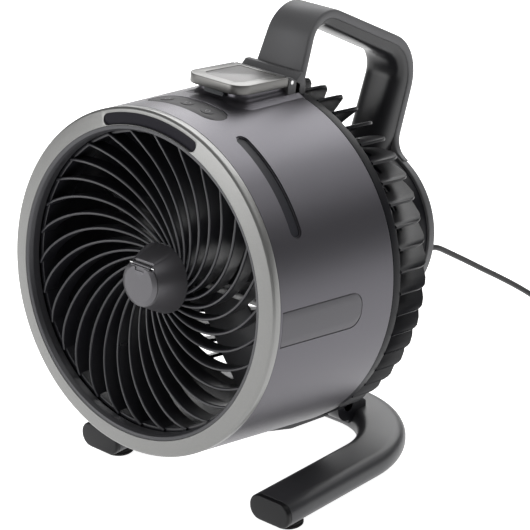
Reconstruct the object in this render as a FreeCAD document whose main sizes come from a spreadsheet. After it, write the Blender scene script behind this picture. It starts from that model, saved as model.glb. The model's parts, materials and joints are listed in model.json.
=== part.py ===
import FreeCAD
import Part
import math
import os
import re
import Sketcher
from FreeCAD import Placement, Rotation, Vector

# Portable misting fan: a drum-shaped fan head on a U-shaped tube stand.
# The head is drawn in its own frame: X across, Y backwards along the fan's axis from the
# plane of the front ring's outer edge, Z up. The head is then tipped back about X and lifted.
# The stand is drawn with Z up from the floor and the same Y origin as the head.

doc = FreeCAD.newDocument("misting_fan")
sheet = doc.addObject("Spreadsheet::Sheet", "sizes")
NAMES = []


def size(name, value):
    row = len(NAMES) + 1
    sheet.set("A%d" % row, name)
    sheet.set("B%d" % row, "%g" % value)
    sheet.setAlias("B%d" % row, name)
    NAMES.append(name)


# Whole object
size("ring_height", 187.5)          # ring centre above the floor
size("tilt", 7.08)                  # degrees that the head leans back
size("centre_back", 135.4)          # from the ring plane back to the middle of the object

# Front ring, drum and duct
size("ring_radius", 127)
size("opening_radius", 111)
size("ring_nose", 2.65)             # how far the opening's edge stands ahead of the outer edge
size("ring_side", 6.2)
size("drum_end", 125.7)
size("drum_rear_radius", 131)
size("drum_wall", 2.5)
size("duct_radius", 107)
size("duct_wall", 2.5)
size("duct_start", 12.5)
size("slot_radius", 119)            # middle of the display slot in the ring
size("slot_width", 8.7)
size("slot_span", 39.5)             # degrees between the slot's two end centres

# Front grille and hub
size("vane_count", 30)
size("vane_wall", 1.8)
size("vane_bow", 79)                # radius of a vane's arc, seen from the front
size("vane_sweep", 68)              # degrees between a vane's inner and outer end
size("grille_back", 30)
size("hub_radius", 26.3)
size("hub_base", 22)                # hub base behind the ring plane
size("door_radius", 17.5)
size("hub_nose", 1.0)
size("door_wall", 2.4)
size("door_hinge_up", 13.4)
size("door_hinge_back", 1.6)
size("feed_back", 38)               # water feed to the nozzle, behind the ring plane
size("feed_radius", 2.2)
size("pump_across", 110.3)

# Fan, shaft and motor
size("blade_count", 5)
size("blade_radius", 104)
size("fan_hub_radius", 28)
size("fan_front", 50)
size("fan_back", 94)
size("shaft_radius", 4)
size("shaft_play", 0.03)
size("bearing_radius", 9)
size("motor_radius", 34)
size("motor_front", 97)
size("motor_back", 142)

# Rear grille, housing and cover
size("fin_count", 50)
size("fin_wall", 2.6)
size("fin_sweep", -43.2)            # degrees that a fin turns on its way out
size("fin_bow", 300)
size("housing_radius", 64)
size("housing_front", 186)
size("cover_radius", 66)
size("cover_front", 252)
size("cover_back", 260)
size("cover_screw_radius", 57)
size("jack_across", 40)
size("jack_up", -16)

# Water tank, filler and lid
size("tank_inner_radius", 111.5)
size("tank_outer_radius", 123.5)
size("tank_wall", 2)
size("filler_back", 88)             # filler's axis behind the ring plane
size("neck_radius", 16.5)
size("neck_wall", 2.9)
size("boss_top", 133.8)
size("lid_half_width", 27)
size("lid_front", 60)
size("lid_back", 113.2)
size("lid_bottom", 135)
size("lid_top", 142)
size("lid_corner", 12)
size("lid_pin_back", 116.6)
size("lid_pin_up", 138.2)
size("lid_pin_radius", 1.5)

# Controls on the drum
size("panel_back", 36.5)
size("panel_half_length", 35)
size("panel_half_width", 11.5)
size("button_radius", 5.2)
size("button_step", 8.7)            # degrees between buttons
size("button_proud", 0.5)
size("window_back", 33)
size("window_angle", 46.5)
size("window_half_length", 43.5)
size("window_half_width", 5.5)
size("badge_half_height", 13.3)
size("badge_front", 9)
size("badge_back", 92)

# Handle
size("handle_half_width", 19)
size("handle_root_half_width", 23)
size("handle_shell", 7)
size("grip_half_width", 17.5)
size("handle_fillet", 18)           # where the rear arm spreads into the rear cover's rim

# Stand
size("leg_across", 87)
size("leg_front", 44)
size("tube_width", 38)
size("tube_bottom", 7.5)
size("tube_tall", 20.5)
size("tube_corner", 9.5)
size("bend_radius", 65)
size("bar_back", 212)
size("cap_wall", 4)
size("foot_radius", 11.7)
size("foot_back", 61.6)
size("rear_foot_back", 219)
size("rear_foot_half", 36)
size("pivot_back", 184)
size("pivot_height", 36)
size("pin_radius", 5)
size("pin_play", 0.04)
size("barrel_radius", 12)
size("barrel_half", 29.4)
size("lug_wall", 13)

# Power lead
size("cord_size", 4.6)
size("coil_middle", 27)             # radius of the coil's middle turn
size("coil_half", 6.9)              # half the thickness of the wound bundle
size("coil_across", 19.4)
size("coil_back", 522)

doc.recompute()

WORD = re.compile(r"[a-z][a-z_]*")


def formula(text):
    """The same arithmetic with each size's name pointed at the sheet."""
    return WORD.sub(lambda m: "sizes." + m.group(0) if m.group(0) in NAMES else m.group(0), str(text))


def number(text):
    value = sheet.evalExpression(formula(text))
    return float(getattr(value, "Value", value))


def bind(thing, **sizes):
    for name, text in sizes.items():
        thing.setExpression(name, formula(text))
    return thing


ALONG = Rotation(Vector(1, 0, 0), -90)          # a primitive's own axis laid along the fan's axis
ACROSS = Rotation(Vector(0, 1, 0), 90)          # laid along X
UPRIGHT = Rotation()


def put(thing, at, turn=UPRIGHT):
    """Places a piece inside its own frame; each of the three coordinates stays bound to the sheet."""
    thing.Placement = Placement(Vector(*[number(t) for t in at]), turn)
    for letter, text in zip("xyz", at):
        thing.setExpression(".Placement.Base." + letter, formula(text))
    return thing


def cylinder(radius, length, at=(0, 0, 0), turn=ALONG, angle=360):
    made = doc.addObject("Part::Cylinder", "cylinder")
    bind(made, Radius=radius, Height=length, Angle=angle)
    return put(made, at, turn)


def cone(radius_a, radius_b, length, at=(0, 0, 0), turn=ALONG):
    made = doc.addObject("Part::Cone", "cone")
    bind(made, Radius1=radius_a, Radius2=radius_b, Height=length)
    return put(made, at, turn)


def box(low, lengths):
    made = doc.addObject("Part::Box", "box")
    bind(made, Length=lengths[0], Width=lengths[1], Height=lengths[2])
    return put(made, low)


def cut(base, *tools):
    for tool in tools:
        made = doc.addObject("Part::Cut", "cut")
        made.Base = base
        made.Tool = tool
        base = made
    return base


def fuse(*shapes):
    made = doc.addObject("Part::MultiFuse", "fuse")
    made.Shapes = list(shapes)
    return made


def common(base, tool):
    made = doc.addObject("Part::Common", "common")
    made.Base = base
    made.Tool = tool
    return made


def tube(outer, inner, start, end, turn=ALONG):
    """A plain tube on the fan's axis between two places along it."""
    length = "(%s) - (%s)" % (end, start)
    at = (0, start, 0)
    return cut(cylinder(outer, length, at, turn), cylinder(inner, length + " + 2", (0, "(%s) - 1" % start, 0), turn))


def plane_of(body, role):
    return [f for f in body.Origin.OriginFeatures if f.Role == role][0]


def sketch_on(body, role, lift=None):
    sketch = body.newObject("Sketcher::SketchObject", "sketch")
    sketch.AttachmentSupport = (plane_of(body, role), [""])
    sketch.MapMode = "FlatFace"
    if lift is not None:
        sketch.setExpression(".AttachmentOffset.Base.z", formula(lift))
    return sketch


def draw_loop(sketch, points):
    """A closed loop of straight lines with each corner's two coordinates bound to the sheet."""
    first = sketch.GeometryCount
    places = [Vector(number(a), number(b), 0) for a, b in points]
    count = len(places)
    for i in range(count):
        sketch.addGeometry(Part.LineSegment(places[i], places[(i + 1) % count]), False)
    for i in range(count):
        sketch.addConstraint(Sketcher.Constraint("Coincident", first + i, 2, first + (i + 1) % count, 1))
    for i in range(count):
        for kind, text, value in zip(("DistanceX", "DistanceY"), points[i], (places[i].x, places[i].y)):
            row = sketch.addConstraint(Sketcher.Constraint(kind, -1, 1, first + i, 1, value))
            sketch.setExpression("Constraints[%d]" % row, formula(text))


def turned(name, points, body=None, groove=False):
    """A profile of (radius, place along the axis) corners, turned about the fan's axis."""
    body = body or doc.addObject("PartDesign::Body", name)
    sketch = sketch_on(body, "XY_Plane")
    draw_loop(sketch, points)
    kind = "PartDesign::Groove" if groove else "PartDesign::Revolution"
    turn = body.newObject(kind, "turn")
    turn.Profile = sketch
    turn.ReferenceAxis = (sketch, ["V_Axis"])
    turn.Angle = 360
    return body


def padded(name, role, points, length, body=None):
    """A straight-sided outline padded to both sides of its plane."""
    body = body or doc.addObject("PartDesign::Body", name)
    sketch = sketch_on(body, role)
    draw_loop(sketch, points)
    pad = body.newObject("PartDesign::Pad", "pad")
    pad.Profile = sketch
    pad.SideType = "Symmetric"
    bind(pad, Length=length)
    return body


def repeated(body, feature, count):
    """Copies a feature round the fan's axis."""
    ring = body.newObject("PartDesign::PolarPattern", "ring")
    ring.Originals = [feature]
    ring.Axis = (plane_of(body, "Y_Axis"), [""])
    ring.Angle = 360
    bind(ring, Occurrences=count)
    body.Tip = ring
    return ring


PARTS = {}


def head_frame():
    return Placement(
        Vector(0, -number("centre_back"), number("ring_height")), Rotation(Vector(1, 0, 0), -number("tilt"))
    )


def stand_frame():
    return Placement(Vector(0, -number("centre_back"), 0), Rotation())


def compound(shapes):
    made = doc.addObject("Part::Compound", "group")
    made.Links = shapes
    return made


def finish(name, thing, frame):
    """Names a sub-part and puts it where it belongs in the whole fan."""
    if thing.ExpressionEngine or not thing.Placement.isIdentity():
        thing = compound([thing])
    thing.Label = name
    thing.Placement = frame
    PARTS[name] = thing
    return thing


def computed(name, shape, frame):
    made = doc.addObject("Part::Feature", name)
    made.Shape = shape
    return finish(name, made, frame)


def slot_block(half_length, half_width, low, tall, at, turn):
    """A block with round ends: long in X, narrow in Y, standing on Z."""
    straight = "%s - (%s)" % (half_length, half_width)
    width = "2 * (%s)" % half_width
    middle = box(("-(%s)" % straight, "-(%s)" % half_width, low), ("2 * (%s)" % straight, width, tall))
    right = cylinder(half_width, tall, (straight, 0, low), UPRIGHT)
    left = cylinder(half_width, tall, ("-(%s)" % straight, 0, low), UPRIGHT)
    return put(fuse(middle, right, left), at, turn)


def radial(angle):
    """Turns a block's Z so that it points out of the drum, angle degrees up from +X."""
    return Rotation(Vector(0, 1, 0), 90 - number(angle))


# ---------------------------------------------------------------- drum and what is let into it

def drum_radius_at(place):
    grow = "(drum_rear_radius - ring_radius) / (drum_end - ring_side)"
    return "ring_radius + (%s - ring_side) * %s" % (place, grow)


def drum_blank():
    length = "drum_end - ring_side"
    outer = cone("ring_radius", "drum_rear_radius", length, (0, "ring_side", 0))
    inner = cone("ring_radius - drum_wall", "drum_rear_radius - drum_wall", length, (0, "ring_side", 0))
    return cut(outer, inner)


def panel_block():
    return slot_block("panel_half_length", "panel_half_width", 112, 24, (0, "panel_back", 0), radial(90))


def window_block():
    return slot_block(
        "window_half_length", "window_half_width", 112, 24, (0, "window_back", 0), radial("window_angle")
    )


def badge_block():
    length = "badge_back - badge_front - badge_half_height"
    block = box((110, "badge_front", "-badge_half_height"), (30, length, "2 * badge_half_height"))
    nose = cylinder("badge_half_height", 30, (110, "badge_front + " + length, 0), ACROSS)
    return fuse(block, nose)


def filler_hole():
    return cylinder("neck_radius", 30, (0, "filler_back", 112), UPRIGHT)


def button_angles():
    step = number("button_step")
    return {"power_button": 90 + step, "speed_button": 90, "mist_button": 90 - step}


def button_post(radius, low, tall, angle):
    """A round post that stands on a radius of the drum, in the middle of the control panel."""
    post = cylinder(radius, tall, (0, 0, low), UPRIGHT)
    return put(compound([post]), (0, "panel_back", 0), radial(angle))


def make_drum():
    shell = cut(drum_blank(), panel_block(), window_block(), badge_block(), filler_hole())
    finish("drum_shell", shell, head_frame())
    holes = [button_post("button_radius + 0.15", 110, 30, a) for a in button_angles().values()]
    finish("control_panel", cut(common(drum_blank(), panel_block()), *holes), head_frame())
    finish("level_window", common(drum_blank(), window_block()), head_frame())
    finish("side_badge", common(drum_blank(), badge_block()), head_frame())
    top = "%s + button_proud" % drum_radius_at("panel_back")
    for name, angle in button_angles().items():
        finish(name, button_post("button_radius", 120.6, "%s - 120.6" % top, angle), head_frame())
    finish("button_board", box((-32, 20.5, 115.2), (64, 32, 1.6)), head_frame())


def make_front_ring():
    nose = "-ring_nose"
    ring = turned("front_ring", [
        ("opening_radius", nose),
        ("ring_radius - 1.4", "-0.5"),
        ("ring_radius", "0.9"),
        ("ring_radius", "ring_side"),
        ("ring_radius - drum_wall - 0.3", "ring_side"),
        ("ring_radius - drum_wall - 0.3", "duct_start"),
        ("ring_radius - drum_wall - 2.8", "duct_start"),
        ("ring_radius - drum_wall - 2.8", "2.6"),
        ("opening_radius", "0.6"),
    ])
    finish("front_ring", cut(ring, arc_slot()), head_frame())
    finish("display_window", common(
        turned("display_blank", [
            ("opening_radius", "0.2 - ring_nose"),
            ("ring_radius - 1.4", "-0.3"),
            ("ring_radius - 1.4", "2.4"),
            ("opening_radius", "0.2"),
        ]), arc_slot()), head_frame())


def arc_slot():
    """A curved slot over the top of the ring, as deep as the ring's face, with round ends."""
    half = "slot_width / 2"
    start = 90 - number("slot_span") / 2
    span = "slot_span"
    at = (0, -6, 0)
    turn = ALONG.multiply(Rotation(Vector(0, 0, 1), -start - number("slot_span")))
    outer = cylinder("slot_radius + %s" % half, 14, at, turn, span)
    inner = cylinder("slot_radius - (%s)" % half, 16, (0, -7, 0), ALONG)
    ends = []
    for side in (-1, 1):
        across = "%d * slot_radius * sin(slot_span / 2 * 1 deg)" % side
        up = "slot_radius * cos(slot_span / 2 * 1 deg)"
        ends.append(cylinder(half, 14, (across, -6, up), ALONG))
    return fuse(cut(outer, inner), *ends)


# ---------------------------------------------------------------- front grille and hub

def strip_sketch(body, lift, inner, outer, sweep, bow, wall):
    """A swept vane seen from the front: two arcs about one centre, closed by two short lines.
    The vane's middle runs from the inner to the outer radius and turns by sweep degrees on the way,
    anticlockwise where sweep is positive."""
    turn = math.radians(number(sweep))
    start = Vector(number(inner), 0, 0)
    end = Vector(number(outer) * math.cos(turn), number(outer) * math.sin(turn), 0)
    chord = end - start
    reach = math.sqrt(number(bow) ** 2 - (chord.Length / 2) ** 2)
    aside = Vector(-chord.y, chord.x, 0).normalize() * math.copysign(reach, turn)
    centre = (start + end) * 0.5 + aside
    first, last = [math.atan2(p.y - centre.y, p.x - centre.x) for p in (start, end)]
    if turn < 0:
        first, last = last, first
    if last < first:
        last += 2 * math.pi
    half = number(wall) / 2
    sketch = sketch_on(body, "XZ_Plane", "-(%s)" % lift)
    arcs = []
    for radius in (number(bow) - half, number(bow) + half):
        circle = Part.Circle(centre, Vector(0, 0, 1), radius)
        arcs.append(sketch.addGeometry(Part.ArcOfCircle(circle, first, last), False))
    ends = []
    for angle in (first, last):
        out = Vector(math.cos(angle), math.sin(angle), 0)
        near = centre + out * (number(bow) - half)
        far = centre + out * (number(bow) + half)
        ends.append(sketch.addGeometry(Part.LineSegment(near, far), False))
    for line, which in zip(ends, (1, 2)):
        sketch.addConstraint(Sketcher.Constraint("Coincident", arcs[0], which, line, 1))
        sketch.addConstraint(Sketcher.Constraint("Coincident", arcs[1], which, line, 2))
    for arc, text in zip(arcs, ("%s - %s / 2" % (bow, wall), "%s + %s / 2" % (bow, wall))):
        row = sketch.addConstraint(Sketcher.Constraint("Radius", arc, number(text)))
        sketch.setExpression("Constraints[%d]" % row, formula(text))
    return sketch


def make_grille():
    body = turned("front_grille", [
        ("opening_radius - 3", "0"),
        ("opening_radius - 0.4", "-0.6"),
        ("opening_radius - 0.4", "grille_back"),
        ("opening_radius - 3", "grille_back"),
    ])
    turned("", [
        ("hub_radius - 3.8", "hub_base"),
        ("hub_radius", "hub_base"),
        ("hub_radius", "grille_back"),
        ("hub_radius - 3.8", "grille_back"),
    ], body)
    pad = body.newObject("PartDesign::Pad", "vane")
    pad.Profile = strip_sketch(
        body, "grille_back", "hub_radius - 1.6", "opening_radius - 1.8", "vane_sweep", "vane_bow", "vane_wall"
    )
    bind(pad, Length="grille_back")
    repeated(body, pad, "vane_count")
    turned("", [
        ("hub_radius - 3.9", "-4"),
        ("hub_radius - 3.9", "hub_base"),
        ("hub_radius", "hub_base + 0.1"),
        ("45", "17"),
        ("75", "10"),
        ("96", "6"),
        ("opening_radius - 3", "9"),
        ("opening_radius - 3", "-4"),
    ], body, groove=True)
    turned("", [
        ("0", "-4"),
        ("0", "grille_back + 2"),
        ("hub_radius - 3.8", "grille_back + 2"),
        ("hub_radius - 3.8", "-4"),
    ], body, groove=True)
    finish("front_grille", body, head_frame())


def make_hub():
    hub = turned("hub_housing", [
        ("11", "hub_nose"),
        ("door_radius", "hub_nose"),
        ("hub_radius", "hub_base"),
        ("hub_radius - 3.9", "hub_base"),
        ("hub_radius - 3.9", "grille_back + 1"),
        ("6", "grille_back + 1"),
        ("6", "18"),
        ("11", "18"),
    ])
    ramp = padded("hub_ramp", "YZ_Plane", [
        ("hub_nose - 1", "door_hinge_up + 0.6"),
        ("hub_base + 0.4", "hub_radius - 0.6"),
        ("hub_base + 0.4", "hub_radius + 8"),
        ("hub_nose - 1", "hub_radius + 8"),
    ], "3 * hub_radius")
    notch = box((-9.2, "hub_nose - 1", "door_hinge_up - 1.9"), (18.4, 3.4, 8))
    pin_hole = cylinder("0.8", 25, (-12.5, "door_hinge_back", "door_hinge_up"), ACROSS)
    finish("hub_housing", cut(hub, ramp, notch, pin_hole), head_frame())

    back = "hub_nose - 0.2"
    disc = cylinder("door_radius - 0.4", "door_wall", (0, "%s - door_wall" % back, 0))
    top = box((-20, -6, "door_hinge_up - 1.4"), (40, 9, 12))
    knuckle = cylinder(1.5, 17.6, (-8.8, "door_hinge_back", "door_hinge_up"), ACROSS)
    web = box((-8.8, "%s - 1.6" % back, "door_hinge_up - 3.2"), (17.6, 1.6, 2.6))
    bore = cylinder("0.84", 30, (-15, "door_hinge_back", "door_hinge_up"), ACROSS)
    finish("nozzle_cover", cut(fuse(cut(disc, top), knuckle, web), bore), head_frame())
    pin = cylinder("0.8", 24, (-12, "door_hinge_back", "door_hinge_up"), ACROSS)
    finish("nozzle_cover_pin", pin, head_frame())
    stem = cylinder(5.9, "feed_back + 4 - 18", (0, 18, 0))
    tip = cone(4.4, 1.6, 7, (0, "11", 0), Rotation(Vector(1, 0, 0), 90))
    put(tip, (0, 18, 0), Rotation(Vector(1, 0, 0), 90))
    finish("mist_nozzle", fuse(stem, tip), head_frame())
    feed = cylinder("feed_radius", "pump_across", (0, "feed_back", 0), ACROSS)
    collar = cylinder("feed_radius + 0.7", 10, (0, "feed_back", 0), ACROSS)
    core = cylinder(5.9, 20, (0, 28, 0))
    finish("mist_feed_tube", cut(fuse(feed, collar), core), head_frame())


# ---------------------------------------------------------------- duct, fan and motor

def make_duct():
    duct = turned("duct_shroud", [
        ("duct_radius", "grille_back + 0.3"),
        ("opening_radius - 0.4", "grille_back + 0.3"),
        ("opening_radius - 0.4", "duct_start + 0.2"),
        ("ring_radius - 5.2", "duct_start + 0.2"),
        ("ring_radius - 5.2", "duct_start + 2.4"),
        ("opening_radius", "duct_start + 2.4"),
        ("opening_radius", "grille_back + 3"),
        ("duct_radius + duct_wall", "grille_back + 5"),
        ("duct_radius + duct_wall", "drum_end - 4"),
        ("drum_rear_radius - 5", "drum_end - 4"),
        ("drum_rear_radius - 5", "drum_end"),
        ("duct_radius", "drum_end"),
    ])
    hole = cylinder("feed_radius + 0.2", 12, (102, "feed_back", 0), ACROSS)
    finish("duct_shroud", cut(duct, hole), head_frame())


def make_fan():
    body = turned("impeller_blank", [
        ("shaft_radius", "fan_front + 4"),
        ("8", "fan_front"),
        ("fan_hub_radius - 4", "fan_front + 2"),
        ("fan_hub_radius", "fan_front + 8"),
        ("fan_hub_radius", "fan_back"),
        ("fan_hub_radius - 2.5", "fan_back"),
        ("fan_hub_radius - 2.5", "fan_front + 12"),
        ("9", "fan_front + 12"),
        ("9", "fan_front + 30"),
        ("shaft_radius", "fan_front + 30"),
    ])
    middle = "(fan_front + fan_back) / 2"
    sections = []
    for lift, chord, pitch in (("fan_hub_radius - 1.5", 44, 52), ("blade_radius + 5", 76, 27)):
        sketch = body.newObject("Sketcher::SketchObject", "blade_section")
        sketch.AttachmentSupport = (plane_of(body, "XY_Plane"), [""])
        sketch.MapMode = "FlatFace"
        sketch.AttachmentOffset = Placement(
            Vector(0, number(middle), number(lift)), Rotation(Vector(0, 0, 1), pitch)
        )
        half = chord / 2
        draw_loop(sketch, [(-half, 0), (0, -3.4), (half, 0), (half, 1.6), (0, -1.2), (-half, 1.6)])
        sections.append(sketch)
    blade = body.newObject("PartDesign::AdditiveLoft", "blade")
    blade.Profile = sections[0]
    blade.Sections = sections[1:]
    blade.Ruled = True
    repeated(body, blade, "blade_count")
    envelope = turned("impeller_envelope", [
        ("shaft_radius", "fan_front - 4"),
        ("blade_radius", "fan_front - 4"),
        ("blade_radius", "fan_back + 2"),
        ("fan_hub_radius + 1", "fan_back + 2"),
        ("fan_hub_radius + 1", "fan_back"),
        ("shaft_radius", "fan_back"),
    ])
    core = cylinder("fan_hub_radius - 2.5", 40, (0, "fan_front + 12", 0))
    boss = tube("9", "shaft_radius", "fan_front + 12", "fan_front + 30")
    trimmed = cut(common(body, envelope), core)
    finish("impeller", fuse(trimmed, boss), head_frame())
    finish("motor_shaft", cylinder("shaft_radius", 98, (0, "fan_front + 4", 0)), head_frame())
    nut = fuse(cone(7.5, 5, 5, (0, "fan_front - 5", 0)), cylinder("shaft_radius", 9, (0, "fan_front - 5", 0)))
    put(nut, (0, 0, 0))
    finish("impeller_nut", cut(nut, cylinder("1.2", 3, (0, "fan_front - 6", 0))), head_frame())


def make_motor():
    front = "motor_front"
    back = "motor_back"
    mount = turned("motor_mount", [
        ("bearing_radius", front),
        ("motor_radius", front),
        ("motor_radius", "%s + 4" % back),
        ("housing_radius - 4", "housing_front - 6"),
        ("housing_radius - 4", "housing_front"),
        ("housing_radius - 8", "housing_front"),
        ("housing_radius - 8", "housing_front - 5"),
        ("motor_radius - 4", "%s + 6" % back),
        ("motor_radius - 4", back),
        ("bearing_radius", back),
        ("bearing_radius", "%s - 5" % back),
        ("motor_radius - 3", "%s - 5" % back),
        ("motor_radius - 3", "%s + 5" % front),
        ("bearing_radius", "%s + 5" % front),
    ])
    finish("motor_mount", mount, head_frame())
    bearing = "shaft_radius + shaft_play"
    finish("front_bearing", tube("bearing_radius", bearing, front, "%s + 5" % front), head_frame())
    finish("rear_bearing", tube("bearing_radius", bearing, "%s - 5" % back, back), head_frame())
    stator = tube("motor_radius - 3", "16.5", "%s + 9" % front, "%s - 9" % back)
    finish("motor_stator", stator, head_frame())
    rotor = tube("15.8", "shaft_radius", "%s + 8" % front, "%s - 8" % back)
    finish("motor_rotor", rotor, head_frame())


# ---------------------------------------------------------------- rear of the head

def cover_screw_places():
    reach = number("cover_screw_radius")
    angles = [math.radians(a) for a in (60, 120, 240, 300)]
    return [(reach * math.cos(a), reach * math.sin(a)) for a in angles]


def make_rear():
    body = turned("rear_grille", [
        ("housing_radius", "housing_front + 8"),
        ("housing_radius + 4", "housing_front + 8"),
        ("housing_radius + 4", "housing_front + 18"),
        ("housing_radius", "housing_front + 18"),
    ])
    fin = body.newObject("PartDesign::Pad", "fin")
    fin.Profile = strip_sketch(
        body, "housing_front + 18", "housing_radius + 1.5", "drum_rear_radius + 2", "fin_sweep", "fin_bow", "fin_wall"
    )
    bind(fin, Length="housing_front + 18 - drum_end - 4")
    repeated(body, fin, "fin_count")
    turned("", [
        ("drum_rear_radius", "drum_end + 2"),
        ("drum_rear_radius", "drum_end + 33"),
        ("drum_rear_radius - 1.8", "drum_end + 39"),
        ("drum_rear_radius - 5.8", "drum_end + 44.5"),
        ("housing_radius + 34", "housing_front + 5"),
        ("housing_radius + 4", "housing_front + 17"),
        ("housing_radius + 4", "housing_front + 20"),
        ("drum_rear_radius + 6", "housing_front + 20"),
        ("drum_rear_radius + 6", "drum_end + 2"),
    ], body, groove=True)
    turned("", [
        ("0", "drum_end + 2"),
        ("drum_rear_radius - 9", "drum_end + 2"),
        ("drum_rear_radius - 14", "drum_end + 30"),
        ("housing_radius + 30", "housing_front - 8"),
        ("housing_radius + 2", "housing_front + 8"),
        ("0", "housing_front + 8"),
    ], body, groove=True)
    turned("", [
        ("0", "housing_front + 7"),
        ("housing_radius", "housing_front + 7"),
        ("housing_radius", "housing_front + 19"),
        ("0", "housing_front + 19"),
    ], body, groove=True)
    turned("", [
        ("drum_rear_radius - 10", "drum_end"),
        ("drum_rear_radius", "drum_end"),
        ("drum_rear_radius", "drum_end + 8.5"),
        ("drum_rear_radius - 10", "drum_end + 8.5"),
    ], body)
    finish("rear_grille", body, head_frame())

    housing = turned("rear_housing", [
        ("0", "housing_front"),
        ("housing_radius", "housing_front"),
        ("housing_radius", "cover_front"),
        ("housing_radius - 2.5", "cover_front"),
        ("housing_radius - 2.5", "housing_front + 2.5"),
        ("0", "housing_front + 2.5"),
    ])
    places = cover_screw_places()
    bosses = [cylinder(4.9, 20, (across, "cover_front - 20", up)) for across, up in places]
    threads = [cylinder(1.5, 22, (across, "cover_front - 21", up)) for across, up in places]
    finish("rear_housing", cut(fuse(housing, *bosses), *threads), head_frame())
    cover = turned("rear_cover", [
        ("0", "cover_front"),
        ("cover_radius", "cover_front"),
        ("cover_radius", "cover_back - 1.6"),
        ("cover_radius - 1.6", "cover_back"),
        ("cover_radius - 5", "cover_back"),
        ("cover_radius - 6", "cover_back - 1"),
        ("0", "cover_back - 1"),
    ])
    jack_hole = cylinder(5, 14, ("jack_across", "cover_front - 3", "jack_up"))
    shank_holes = [cylinder(1.5, 12, (across, "cover_front - 1", up)) for across, up in places]
    sinks = [cylinder(3.4, 6, (across, "cover_back - 3.6", up)) for across, up in places]
    finish("rear_cover", cut(cover, jack_hole, *shank_holes, *sinks), head_frame())
    screws = []
    for across, up in places:
        screws.append(cylinder(1.5, 16, (across, "cover_back - 19.6", up)))
        screws.append(cylinder(3, 1.8, (across, "cover_back - 3.6", up)))
    finish("rear_cover_screws", fuse(*screws), head_frame())
    jack = cylinder(5, 15, ("jack_across", "cover_back - 15.5", "jack_up"))
    socket = cylinder(2.8, 12, ("jack_across", "cover_back - 10", "jack_up"))
    finish("dc_jack", cut(jack, socket), head_frame())
    cells = [
        cylinder(10.5, 40, (across, "housing_front + 3", up))
        for across in (-22, 0, 22) for up in (-11, 11)
    ]
    tray = box((-34, "housing_front + 43", -23), (68, 2, 46))
    finish("battery_pack", fuse(*cells, tray), head_frame())
    finish("main_board", box((-40, "cover_front - 12", 14), (80, 1.6, 30)), head_frame())


def make_tank():
    def arch(inner, outer, start, end, low, high):
        turn = ALONG.multiply(Rotation(Vector(0, 0, 1), -high))
        length = "(%s) - (%s)" % (end, start)
        whole = cylinder(outer, length, (0, start, 0), turn, high - low)
        core = cylinder(inner, length + " + 2", (0, "(%s) - 1" % start, 0))
        return cut(whole, core)

    wall = "tank_wall"
    outer = fuse(
        arch("tank_inner_radius", "tank_outer_radius", 56, 118, 20, 160),
        arch("tank_inner_radius", "tank_outer_radius", 22, 58, 20, 70),
    )
    inside = fuse(
        arch("tank_inner_radius + " + wall, "tank_outer_radius - " + wall, 58, 116, 21, 159),
        arch("tank_inner_radius + " + wall, "tank_outer_radius - " + wall, 24, 60, 21, 69),
    )
    mouth = cylinder("neck_radius", 12, (0, "filler_back", "tank_outer_radius - 4.5"), UPRIGHT)
    finish("water_tank", cut(outer, inside, mouth), head_frame())
    neck_low = "tank_outer_radius - 4.5"
    neck = cylinder("neck_radius", "boss_top - (%s)" % neck_low, (0, "filler_back", neck_low), UPRIGHT)
    neck_hole = cylinder("neck_radius - neck_wall", 30, (0, "filler_back", 110), UPRIGHT)
    finish("filler_neck", cut(neck, neck_hole), head_frame())

    finish("filler_boss", filler_pad(), head_frame())
    pump = box(("pump_across", "feed_back - 2.6", -14), (11.4, 34, 28))
    finish("mist_pump", pump, head_frame())
    hose = cylinder("feed_radius", 25.5, ("pump_across + 2.4", 62, 14), UPRIGHT)
    finish("water_hose", hose, head_frame())


def filler_pad():
    """Raised pad under the lid, seated on the drum and open for the filler neck."""
    depth = "lid_back - lid_front - 7"
    block = box(("4 - lid_half_width", "lid_front + 7", 110), ("2 * lid_half_width - 8", depth, "boss_top - 110"))
    length = "drum_end - ring_side"
    under = cone("ring_radius", "drum_rear_radius", length, (0, "ring_side", 0))
    return cut(block, under, filler_hole())


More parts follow.
